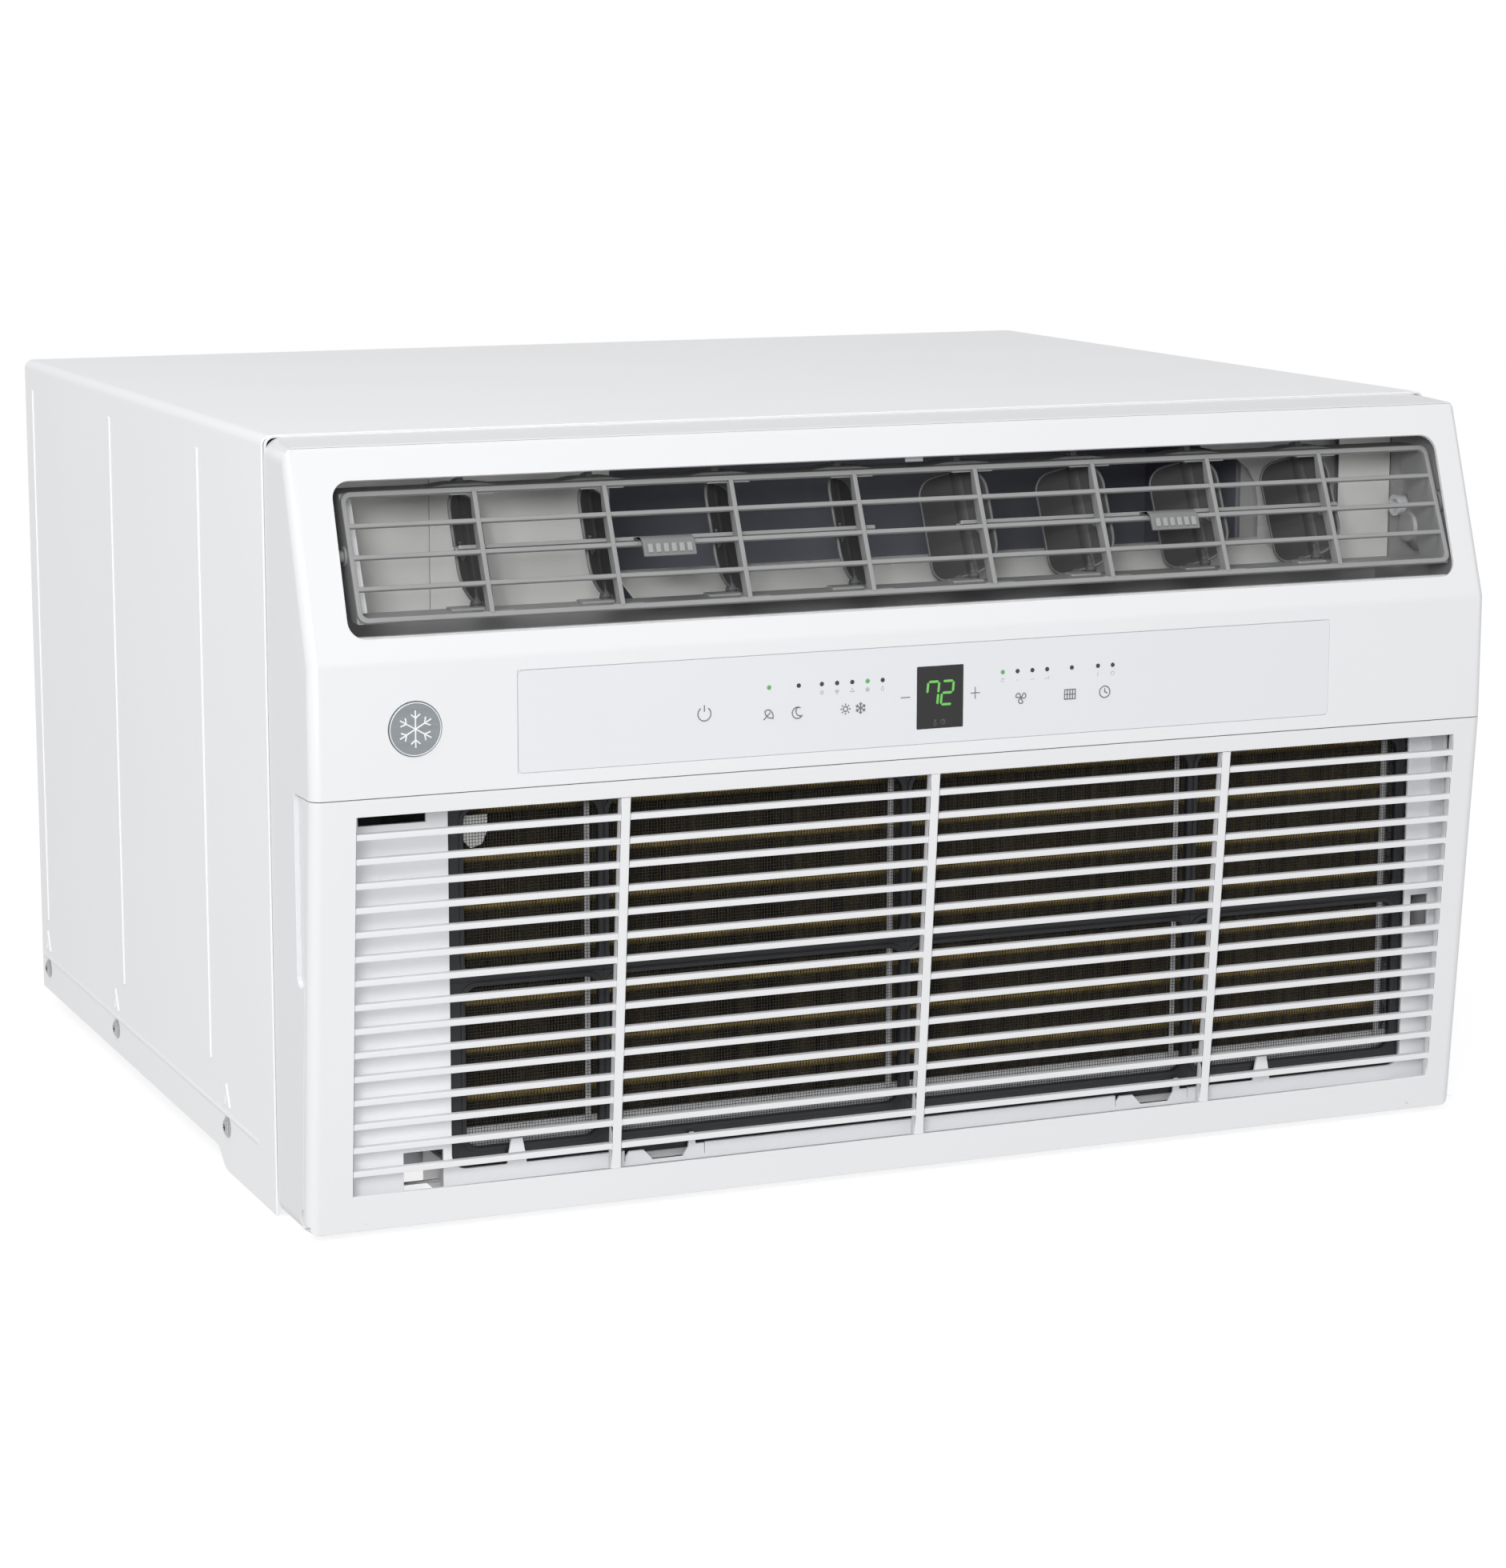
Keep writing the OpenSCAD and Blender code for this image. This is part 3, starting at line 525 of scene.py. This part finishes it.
def louver_pivots():
    kit = Kit(LOUVER)
    for side, inner, outer in ((-1, -316, -306), (1, 306, 313)):
        kit.rod((inner, 0, 0), (outer, 0, 0), 3)
        kit.lathe([(5, 0), (5, 1.2), (0, 1.2)], 24, shift(side * 306.8, 0, 0) @ turn(90 * side, "Y"))
    piece(kit, "louver_pivots", "louver", "grey", (), 0.2)


def louver_end_strip():
    kit = Kit(LOUVER @ LEVEL)
    kit.box(-303.6, -296.5, 9, 10.2, -33, 27)
    piece(kit, "louver_end_strip", "louver", "inner_white", (), 0.3)


# ---------------------------------------------------------------- vanes
VANE_HALF_HEIGHT = 28
VANE_FRONT_Y, VANE_BACK_Y = -15.5, 22
VANE_JOIN_Y = 10
VANE_HALF_THICKNESS = 0.6
NOTCH_TOP, NOTCH_FOOT, NOTCH_Y = -2.6, -7.2, -6.2
VANE_CORNER_STEPS = 8
RIM_RADIUS = 0.85
PIN_RADIUS, PEG_RADIUS = 1.9, 1.25
PIN_SPANS = ((26, 34.5), (-34.5, -26))
LOWER_COLLAR = [(0, -30.6), (2.4, -30.5), (3.0, -29.6), (2.7, -28.2), (1.5, -26.4), (1.2, -22), (0, -22)]
UPPER_COLLAR = [(0, 25.8), (1.6, 26.4), (2.9, 28.6), (2.9, 30.3), (0, 30.5)]
PEG_CAP = [(0, -0.9), (1.9, -0.7), (1.9, 0.2), (0, 0.4)]


def vane_outline():
    """(y, z) points: corners of 14 mm in front, of 9 mm at the back, and the notch for the link bar"""
    height = (-VANE_HALF_HEIGHT, VANE_HALF_HEIGHT)
    back = rounded(-45, VANE_BACK_Y, *height, 9, 7)
    front = rounded(VANE_FRONT_Y, 60, *height, 14, VANE_CORNER_STEPS)
    outline = [p for p in back if p[0] > VANE_JOIN_Y] + [p for p in front if p[0] < VANE_JOIN_Y]
    notch = [(VANE_FRONT_Y, NOTCH_TOP), (NOTCH_Y - 1, NOTCH_TOP), (NOTCH_Y, NOTCH_TOP - 1),
             (NOTCH_Y, NOTCH_FOOT + 1), (NOTCH_Y - 1, NOTCH_FOOT), (VANE_FRONT_Y, NOTCH_FOOT)]
    last_corner = len(outline) - VANE_CORNER_STEPS - 1
    return outline[:last_corner] + notch + outline[last_corner:]


def vane(number, x, rest_deg):
    spot = LOUVER @ shift(x, AXLE_Y, 6.2) @ turn(rest_deg, "Z")
    body = f"vane{number}"
    outline = vane_outline()
    kit = Kit(spot)
    kit.prism(outline, "x", -VANE_HALF_THICKNESS, VANE_HALF_THICKNESS)
    kit.box(-0.9, 0.9, -3, 3, -27.6, 27.6)
    piece(kit, f"vane_plate_{number}", body, "vane", [f"vane_{number}"], 0)
    kit = Kit(spot)
    # the rim tube is real geometry; its lighter grey than the plate is a painted highlight along the vane's
    # edge
    kit.tube([(0, y, z) for y, z in outline], RIM_RADIUS, 8, closed=True)
    piece(kit, f"vane_rim_{number}", body, "rim_painted_highlight", (), 0)
    kit = Kit(spot)
    for low, high in PIN_SPANS:
        kit.rod((0, 0, low), (0, 0, high), PIN_RADIUS, 16)
    kit.lathe(LOWER_COLLAR, 18)
    kit.lathe(UPPER_COLLAR, 18)
    kit.rod((0, PEG_Y, -9.4), (0, PEG_Y, -0.4), PEG_RADIUS, 14)
    kit.lathe(PEG_CAP, 14, shift(0, PEG_Y, 0))
    kit.box(-1.5, 1.5, 6.5, 10, -30.4, -27)
    piece(kit, f"vane_pins_{number}", body, "grey_dark", (), 0.2)


# ---------------------------------------------------------------- link bars
BAR_Z = (0.5, 2.5)
BAR_OVERHANG = 10
FORK_REACH, FORK_HALF = 3.2, 1.1
GRIP_HALF = 14
GRIP_SHAPE = [(0, 0.5), (-3.4, 0.5), (-4, -0.6), (-8.6, -0.9), (-10.6, -3.2), (-10.6, -11.4), (-12.6, -11.6),
              (-12.7, -4), (-11.4, -2), (-9.4, -0.1), (-3, 1.6), (0, 2.3)]
RIBS, RIB_PITCH, RIB_HALF = 6, 4.2, 1.35


def link(first, last, grip_x, side, body, node):
    """the bar that turns vanes first to last, with a fork round each peg and a ribbed finger grip"""
    kit = Kit(LOUVER)
    peg_offset = side * PEG_Y * math.sin(rad(VANE_REST_DEG))
    ends = (VANE_X[first] - BAR_OVERHANG, VANE_X[last] + BAR_OVERHANG)
    kit.prism(rounded(*ends, -1, 1.6, 1.0), "z", *BAR_Z)
    kit.prism(rounded(*ends, 4.0, 5.5, 0.7), "z", *BAR_Z)
    for vane_x in VANE_X[first:last + 1]:
        for reach in (-FORK_REACH, FORK_REACH):
            x = vane_x + peg_offset + reach
            kit.box(x - FORK_HALF, x + FORK_HALF, 1.2, 4.4, 0.6, 2.4)
    piece(kit, node + "_bar", body, "grey", [node], 0.2)
    kit = Kit(LOUVER)
    kit.prism(GRIP_SHAPE, "x", grip_x - GRIP_HALF, grip_x + GRIP_HALF)
    piece(kit, node + "_grip", body, "grip", (), 0.6, 3)
    kit = Kit(LOUVER)
    for i in range(RIBS):
        x = grip_x + (i - (RIBS - 1) / 2) * RIB_PITCH
        kit.prism(rounded(x - RIB_HALF, x + RIB_HALF, -9.8, -5.2, 0.5), "y", -13.4, -12.4)
    piece(kit, node + "_ribs", body, "smoke", (), 0.4)


louver_ring()
louver_walls()
louver_rails()
louver_posts()
louver_pads()
louver_bearings()
louver_pivots()
louver_end_strip()
for i, x in enumerate(VANE_X):
    vane(i + 1, x, -VANE_REST_DEG if i < VANES // 2 else VANE_REST_DEG)
link(0, 3, -143, 1, "left_link", "left_link_bar")
link(4, 7, 142, -1, "right_link", "right_link_bar")


# ---------------------------------------------------------------- filter
PANE_X = [(-241.5, -170), (-164, -1), (5, 168), (174, 298)]
PANE_Z = [(35, 118), (124, 209)]
PANE_CORNER = 7
FILTER_X = [-249.5] + [(a[1] + b[0]) / 2 for a, b in zip(PANE_X, PANE_X[1:])] + [304]
FILTER_Z = [23, 121, 215]
FRAME_Y, LIP_Y = (34.3, 37.6), (33.7, 34.6)
LIP_WIDTH, LIP_GAP = 2.4, 0.2
UPRIGHT_Y, CROSS_Y = (35.9, 36.2), (36.2, 36.5)
MESH_PITCH, MESH_HALF = 1.6, 0.09


def filter_frame():
    kit = Kit()
    for x, x_next, pane_x in zip(FILTER_X, FILTER_X[1:], PANE_X):
        for z, z_next, pane_z in zip(FILTER_Z, FILTER_Z[1:], PANE_Z):
            pane = rounded(*pane_x, *pane_z, PANE_CORNER)
            kit.ring(rounded(x, x_next, z, z_next, 0.4), pane, "y", *FRAME_Y)
    piece(kit, "filter_frame", "filter", "black", ["air_filter"], 0.35)


def filter_lips():
    kit = Kit()
    for pane_x in PANE_X:
        for pane_z in PANE_Z:
            outer = rounded(*inset(*pane_x, *pane_z, -LIP_WIDTH), PANE_CORNER + 1)
            inner = rounded(*inset(*pane_x, *pane_z, -LIP_GAP), PANE_CORNER)
            kit.ring(outer, inner, "y", *LIP_Y)
    piece(kit, "filter_lips", "filter", "black", (), 0.25)


def filter_mesh():
    kit = Kit()
    for x in steps(-241, 298, MESH_PITCH):
        kit.box(x - MESH_HALF, x + MESH_HALF, *UPRIGHT_Y, 32, 212.5)
    for z in steps(33, 211, MESH_PITCH):
        kit.box(-245, 301.5, *CROSS_Y, z - MESH_HALF, z + MESH_HALF)
    piece(kit, "filter_mesh", "filter", "mesh", (), 0)


def filter_side_strips():
    kit = Kit()
    for x in (-170, -1, 168, 297):
        kit.box(x - 6, x - 2.9, 38.2, 39, 33, 209)
    piece(kit, "filter_side_strips", "filter", "strip", (), 0.2)


def coil_corner_cap():
    kit = Kit()
    kit.prism([(-240, 205), (-240, 192), (-236, 188), (-230, 190), (-227, 197), (-227, 205)], "y", 38.6, 39.6)
    piece(kit, "coil_corner_cap", "chassis", "silver", (), 0.4)


filter_frame()
filter_lips()
filter_mesh()
filter_side_strips()
coil_corner_cap()


# ---------------------------------------------------------------- coils
FIN_HALF = 0.11
TUBE_RADIUS = 3.6
END_PLATE = 1.2


def coil(name, x, y, z, pitch, plate_mat, tube_mat, tube_z, tube_y):
    """x, y and z are the ranges of the coil's block; its fins stand across x"""
    x0, x1 = x
    kit = Kit()
    for fin_x in steps(x0 + 0.6, x1, pitch):
        kit.box(fin_x - FIN_HALF, fin_x + FIN_HALF, *y, *z)
    piece(kit, name + "_plates", "chassis", plate_mat, [name + "_fins"], 0)
    kit = Kit()
    for row_z in tube_z:
        for row_y in tube_y:
            kit.rod((x0 - 1, row_y, row_z), (x1 + 1, row_y, row_z), TUBE_RADIUS, 12)
    piece(kit, name + "_hairpins", "chassis", tube_mat, (), 0)
    kit = Kit()
    for plate_x in ((x0 - END_PLATE, x0), (x1, x1 + END_PLATE)):
        kit.box(*plate_x, *y, *z)
    piece(kit, name + "_end_plates", "chassis", "galvanised", (), 0.3)


coil("evaporator", x=(-238, 298), y=(44, 84), z=(22, 284), pitch=1.7,
     plate_mat="fin_gold", tube_mat="tube_gold",
     tube_z=[34 + 24.7 * i for i in range(11)], tube_y=[47.8, 70])
coil("condenser", x=(-300, 300), y=(528, 562), z=(14, 386), pitch=2.0,
     plate_mat="fin_alu", tube_mat="copper",
     tube_z=[27 + 25 * i for i in range(15)], tube_y=[545])


# ---------------------------------------------------------------- outlet duct
DUCT_Z = (300, 379)
CHEEK_SHAPE = [(203, 379), (203, 367), (215, 364.5), (226, 359.5), (233, 354), (238, 346), (240, 335),
               (240, 300), (288, 300), (288, 379)]
DUCT_LIP_SHAPE = [(58, 306), (85, 316), (91, 316.5), (91, 315), (85.4, 314.5), (58.4, 304.6)]
OUTLET_LIP_SHAPE = [(2.6, 11.4), (2.6, 13.2), (9, 15), (9, 11.6)]


def duct_panels():
    kit = Kit()
    kit.box(-310.5, -238.1, 91.6, 92.6, *DUCT_Z)
    kit.box(-237.8, -141, 91.5, 92.6, *DUCT_Z)
    kit.box(284, 316.5, 79.6, 80.6, *DUCT_Z)
    piece(kit, "duct_panels", "chassis", "silver", (), 0.3)
    kit = Kit()
    kit.prism(CHEEK_SHAPE, "y", 90.6, 92)
    piece(kit, "duct_cheek", "chassis", "strip", (), 0.3)
    kit = Kit()
    kit.prism(DUCT_LIP_SHAPE, "x", -140, 239)
    piece(kit, "duct_lip", "chassis", "silver", (), 0.3)


def duct_boss():
    kit = Kit(SLOPE)
    kit.lathe([(13, 0), (13, 3), (9, 6), (8, 9), (0, 9)], 32, shift(317, 34, 47) @ turn(-90, "Y"))
    piece(kit, "duct_boss", "chassis", "duct", (), 0.5)
    kit = Kit()
    kit.ring(disc(64, 333.5, 6, 28), disc(64, 333.5, 3.4, 28), "x", 310, 316)
    piece(kit, "duct_boss_ring", "chassis", "plastic_white", (), 0.4)


def outlet_edges():
    kit = Kit(SLOPE)
    kit.box(-1, 9, 3.4, 4.6, 88.4, 90.6)
    piece(kit, "outlet_clip", "chassis", "smoke", (), 0.3)
    kit = Kit(SLOPE)
    kit.prism(OUTLET_LIP_SHAPE, "x", -305, 311)
    piece(kit, "outlet_lip", "chassis", "strip", (), 0.2)


duct_panels()
duct_boss()
outlet_edges()


# ---------------------------------------------------------------- joint between bezel and sleeve
SEAM = (-329.6, 329.6, 9, 394.6)
RECESS_X, RECESS_HALF = 327.4, 0.4


def sleeve_seam_band():
    """closes the narrow gap between the bezel and the sleeve"""
    kit = Kit()
    kit.ring(rounded(*SEAM, 5), rounded(*inset(*SEAM, 1), 4), "y", 68.6, 71.2)
    piece(kit, "sleeve_seam_band", "chassis", "steel_white", (), 0)


def grip_recess_floors():
    """the floors of the two finger recesses in the bezel's sides"""
    kit = Kit()
    for x in (-RECESS_X, RECESS_X):
        kit.box(x - RECESS_HALF, x + RECESS_HALF, 15.5, 31.5, 124, 223)
    piece(kit, "grip_recess_floors", "chassis", "plastic_white", (), 0.1)


sleeve_seam_band()
grip_recess_floors()


# ---------------------------------------------------------------- pictograms, each about a unit in radius
def loop(points):
    return points + [points[0]]


def rays(n, r0, r1, start=0):
    angles = [start + 360 * i / n for i in range(n)]
    return [[on_circle(0, 0, r0, a), on_circle(0, 0, r1, a)] for a in angles]


def snowflake():
    lines = rays(6, 0, 1, 90)
    for i in range(6):
        a = 90 + 60 * i
        fork = on_circle(0, 0, 0.58, a)
        lines += [[fork, on_circle(*fork, 0.34, a + spread)] for spread in (-50, 50)]
    return lines


def fan_blade(a):
    return loop([on_circle(0, 0, 0.1, a)] + arc(*on_circle(0, 0, 0.55, a), 0.42, a - 120, a + 60, 8))


def bars(n):
    return [[(b * 1.1 - (n - 1) * 0.55, -0.9), (b * 1.1 - (n - 1) * 0.55, -0.1 + 0.35 * b)] for b in range(n)]


FLAKE = snowflake()
FAN = [fan_blade(a) for a in (30, 150, 270)]
DROP = [loop(arc(0, -0.25, 0.62, -210, 30, 12) + [(0, 1)])]
SUN = [loop(arc(0, 0, 0.45, 0, 330, 11))] + rays(8, 0.7, 1)
CLOCK = [loop(arc(0, 0, 1, 0, 345, 23)), [(0, 0.62), (0, 0), (0.45, -0.2)]]
POWER = [arc(0, 0, 1, 125, 415, 22), [(0, 0.35), (0, 1.25)]]
MOON = [loop(arc(0, 0, 1, 60, 330, 16) + arc(0.55, 0.28, 0.86, 293, 118, 12)[1:-1])]
LEAF = [loop(arc(-0.35, -0.35, 1.25, -15, 75, 10) + arc(0.55, 0.55, 1.15, 165, 285, 12)[1:-1]),
        [(-0.85, -0.85), (0.35, 0.35)]]
GRID = ([loop([(-1, -0.8), (1, -0.8), (1, 0.8), (-1, 0.8)])]
        + [[(x, -0.8), (x, 0.8)] for x in (-0.5, 0, 0.5)] + [[(-1, 0), (1, 0)]])
TRIANGLE = [loop([(-0.9, -0.5), (0, 0.9), (0.9, -0.5)])]
OPEN_RING = [arc(0, 0, 0.9, 30, 330, 12), [(0.9, 0.9), (0.75, 0.3)]]
RING_MARK = [loop(arc(0, 0, 0.95, 0, 340, 17))]
TICK = [[(0, -1), (0, 1)]]
THERMOMETER = [arc(0, -0.9, 0.75, 115, 425, 10), [(-0.32, -0.2), (-0.32, 1.3)],
               [(0.32, -0.2), (0.32, 1.3)], [(-0.32, 1.3), (0.32, 1.3)]]
MINUS = [[(-2.6, 0), (2.6, 0)]]
PLUS = MINUS + [[(0, -3.1), (0, 3.1)]]


def strokes(kit, lines, width, cx=0, cz=0, size=1, y=-0.02):
    for line in lines:
        closed = len(line) > 2 and line[0] == line[-1]
        points = line[:-1] if closed else line
        kit.tube([(cx + size * a, y, cz + size * b) for a, b in points], width, 6, closed)


# ---------------------------------------------------------------- control panel
LED_X = [-91, -74.8, -62.1, -53.7, -45.3, -36.8, -28.4, 39.4, 47.9, 56.4, 64.9, 79.2, 94.4, 103]
LED_Z = 266.2
LIT_LEDS = (0, 5, 7)
LED_SHAPE = [(1.15, 0), (1.15, 0.16), (0.8, 0.3), (0, 0.34)]
SMALL_Z = 261.9
SIGN_Z = 256.4
ICONS = ((POWER, -126, 255.0, 3.5), (LEAF, -91.4, 252.4, 3.0), (MOON, -75.4, 252.4, 2.9),
         (SUN, -49, 252.6, 2.8), (FLAKE, -40.6, 252.6, 3.0),
         (FAN, 50, 252.3, 3.2), (GRID, 78.3, 252.3, 3.1), (CLOCK, 98.6, 252.3, 3.0))


def panel_symbols():
    kit = Kit()
    for lines, x, z, size in ICONS:
        strokes(kit, lines, 0.3, x, z, size)
    strokes(kit, MINUS, 0.26, -15.6, SIGN_Z)
    strokes(kit, PLUS, 0.26, 23.8, SIGN_Z)
    piece(kit, "panel_symbols", "chassis", "ink", (), 0)
    kit = Kit()
    for x, lines in zip(LED_X[2:7], (SUN, FAN, TRIANGLE, FLAKE, DROP)):
        strokes(kit, lines, 0.13, x, SMALL_Z, 1.25)
    for x, lines in zip(LED_X[7:11], (OPEN_RING, bars(1), bars(2), bars(3))):
        strokes(kit, lines, 0.14, x, SMALL_Z)
    strokes(kit, TICK, 0.14, LED_X[12], SMALL_Z)
    strokes(kit, RING_MARK, 0.13, LED_X[13], SMALL_Z)
    piece(kit, "panel_small_symbols", "chassis", "ink_light", (), 0)


def panel_leds():
    on, off = Kit(), Kit()
    for i, x in enumerate(LED_X):
        kit = on if i in LIT_LEDS else off
        kit.lathe(LED_SHAPE, 20, shift(x, 0.02, LED_Z) @ turn(90, "X"))
    piece(on, "panel_leds_on", "chassis", "led_on", ["indicator_leds"], 0)
    piece(off, "panel_leds_off", "chassis", "led_off", (), 0)


# a digit's segments, from the top one clockwise and then the middle one, about the digit's centre
DIGIT_HALF_WIDTH, DIGIT_HALF_HEIGHT, DIGIT_Z = 3.1, 6.0, 257.6
DIGIT_Y = (-0.26, -0.1)
SEGMENT_HALF, SEGMENT_GAP, DIGIT_SLANT = 0.62, 0.25, 0.09
DIGITS = ((-0.3, "abcf"), (7.9, "abged"))
TINY_Y, TINY_Z = -0.18, 242.6


def segment_ends():
    w, h = DIGIT_HALF_WIDTH, DIGIT_HALF_HEIGHT
    return {"a": (-w, h, w, h), "b": (w, h, w, 0), "c": (w, 0, w, -h), "d": (-w, -h, w, -h),
            "e": (-w, 0, -w, -h), "f": (-w, h, -w, 0), "g": (-w, 0, w, 0)}


def segment_outline(x0, z0, x1, z1):
    along = Vector((x1 - x0, z1 - z0)).normalized()
    across = Vector((-along.y, along.x)) * SEGMENT_HALF
    a, b = Vector((x0, z0)) + along * SEGMENT_GAP, Vector((x1, z1)) - along * SEGMENT_GAP
    bevel = along * SEGMENT_HALF
    return [a, a + bevel + across, b - bevel + across, b, b - bevel - across, a + bevel - across]


def display():
    kit = Kit()
    kit.prism(rounded(-9.2, 17, 239.4, 271.7, 0.5, 3), "y", -0.16, 0.3)
    piece(kit, "display_window", "chassis", "glass_black", (), 0.08)
    kit = Kit()
    ends = segment_ends()
    for cx, lit in DIGITS:
        for segment in lit:
            outline = segment_outline(*ends[segment])
            kit.prism([(cx + p.x + p.y * DIGIT_SLANT, DIGIT_Z + p.y) for p in outline], "y", *DIGIT_Y)
    piece(kit, "display_digits", "chassis", "digit", (), 0)
    kit = Kit()
    strokes(kit, THERMOMETER, 0.1, 1.2, TINY_Z, 1, TINY_Y)
    strokes(kit, CLOCK, 0.1, 5.6, TINY_Z, 1.2, TINY_Y)
    piece(kit, "display_symbols", "chassis", "ink", (), 0)


BADGE_X, BADGE_Z = -277, 257.3


def badge():
    kit = Kit(shift(BADGE_X, 0, BADGE_Z) @ turn(90, "X"))
    kit.lathe([(13.5, -0.9), (13.5, 0.1), (13.1, 0.5), (12.7, 0.5), (12.4, 0.25), (0, 0.4)], 64)
    piece(kit, "badge_disc", "chassis", "badge", ["badge"], 0)
    kit = Kit()
    strokes(kit, FLAKE, 0.42, BADGE_X, BADGE_Z, 9.2, -0.45)
    strokes(kit, [loop(arc(BADGE_X, BADGE_Z, 12.9, 0, 354, 59))], 0.22, y=-0.5)
    piece(kit, "badge_mark", "chassis", "badge_mark", (), 0)


panel_symbols()
panel_leds()
display()
badge()


# ---------------------------------------------------------------- sleeve screws
SCREW_X, SCREW_Y, SCREW_Z = 331, (158, 390, 556), 24.5
SCREW_SHAPE = [(0, -7), (1.9, -6.4), (1.9, 0), (5.6, 0), (5.6, 0.5), (4.4, 0.7), (4.4, 1.1), (3.9, 1.7),
               (2.6, 2.05), (2.0, 2.1), (1.6, 1.2), (0, 1.0)]
SCREW_SPOTS = [shift(side * SCREW_X, y, SCREW_Z) @ turn(90 * side, "Y") for side in (-1, 1) for y in SCREW_Y]
DRIVE_LONG, DRIVE_SHORT, DRIVE_Z = (-1.9, 1.9), (-0.35, 0.35), (1.9, 2.14)
DRIVE_TURN_DEG = 20


def screws():
    kit = Kit()
    for spot in SCREW_SPOTS:
        kit.lathe(SCREW_SHAPE, 24, spot)
    piece(kit, "sleeve_screw_heads", "chassis", "screw", ["sleeve_screws"], 0)
    kit = Kit()
    for spot in SCREW_SPOTS:
        kit.box(*DRIVE_LONG, *DRIVE_SHORT, *DRIVE_Z, spot @ turn(DRIVE_TURN_DEG, "Z"))
        kit.box(*DRIVE_SHORT, *DRIVE_LONG, *DRIVE_Z, spot @ turn(DRIVE_TURN_DEG, "Z"))
    piece(kit, "sleeve_screw_drives", "chassis", "black", (), 0)


screws()


# ---------------------------------------------------------------- stage
FLOOR_HALF = 12


def floor():
    mesh = bpy.data.meshes.new("floor")
    h = FLOOR_HALF
    mesh.from_pydata([(-h, -h, 0), (h, -h, 0), (h, h, 0), (-h, h, 0)], [], [(0, 1, 2, 3)])
    o = bpy.data.objects.new("floor", mesh)
    bpy.context.scene.collection.objects.link(o)
    mesh.materials.append(material("floor_white", (0.3, 0.3, 0.3), 0.9, 0.003, 2, bump=0.0,
                                   Emission_Color=(1, 1, 1, 1), Emission_Strength=0.76))
    o.visible_diffuse = o.visible_glossy = False


floor()
world()
camera()
area("top", place=(-1.44, -1.06, 2.9), target=(0, -0.1, 0.25), size=1.6, power=24)
area("front", place=(-1.5, -2.9, 1.2), target=(0, -0.1, 0.2), size=0.8, power=45)
vs = bpy.context.scene.view_settings
vs.view_transform, vs.look, vs.exposure, vs.gamma = "Standard", "None", 0, 1
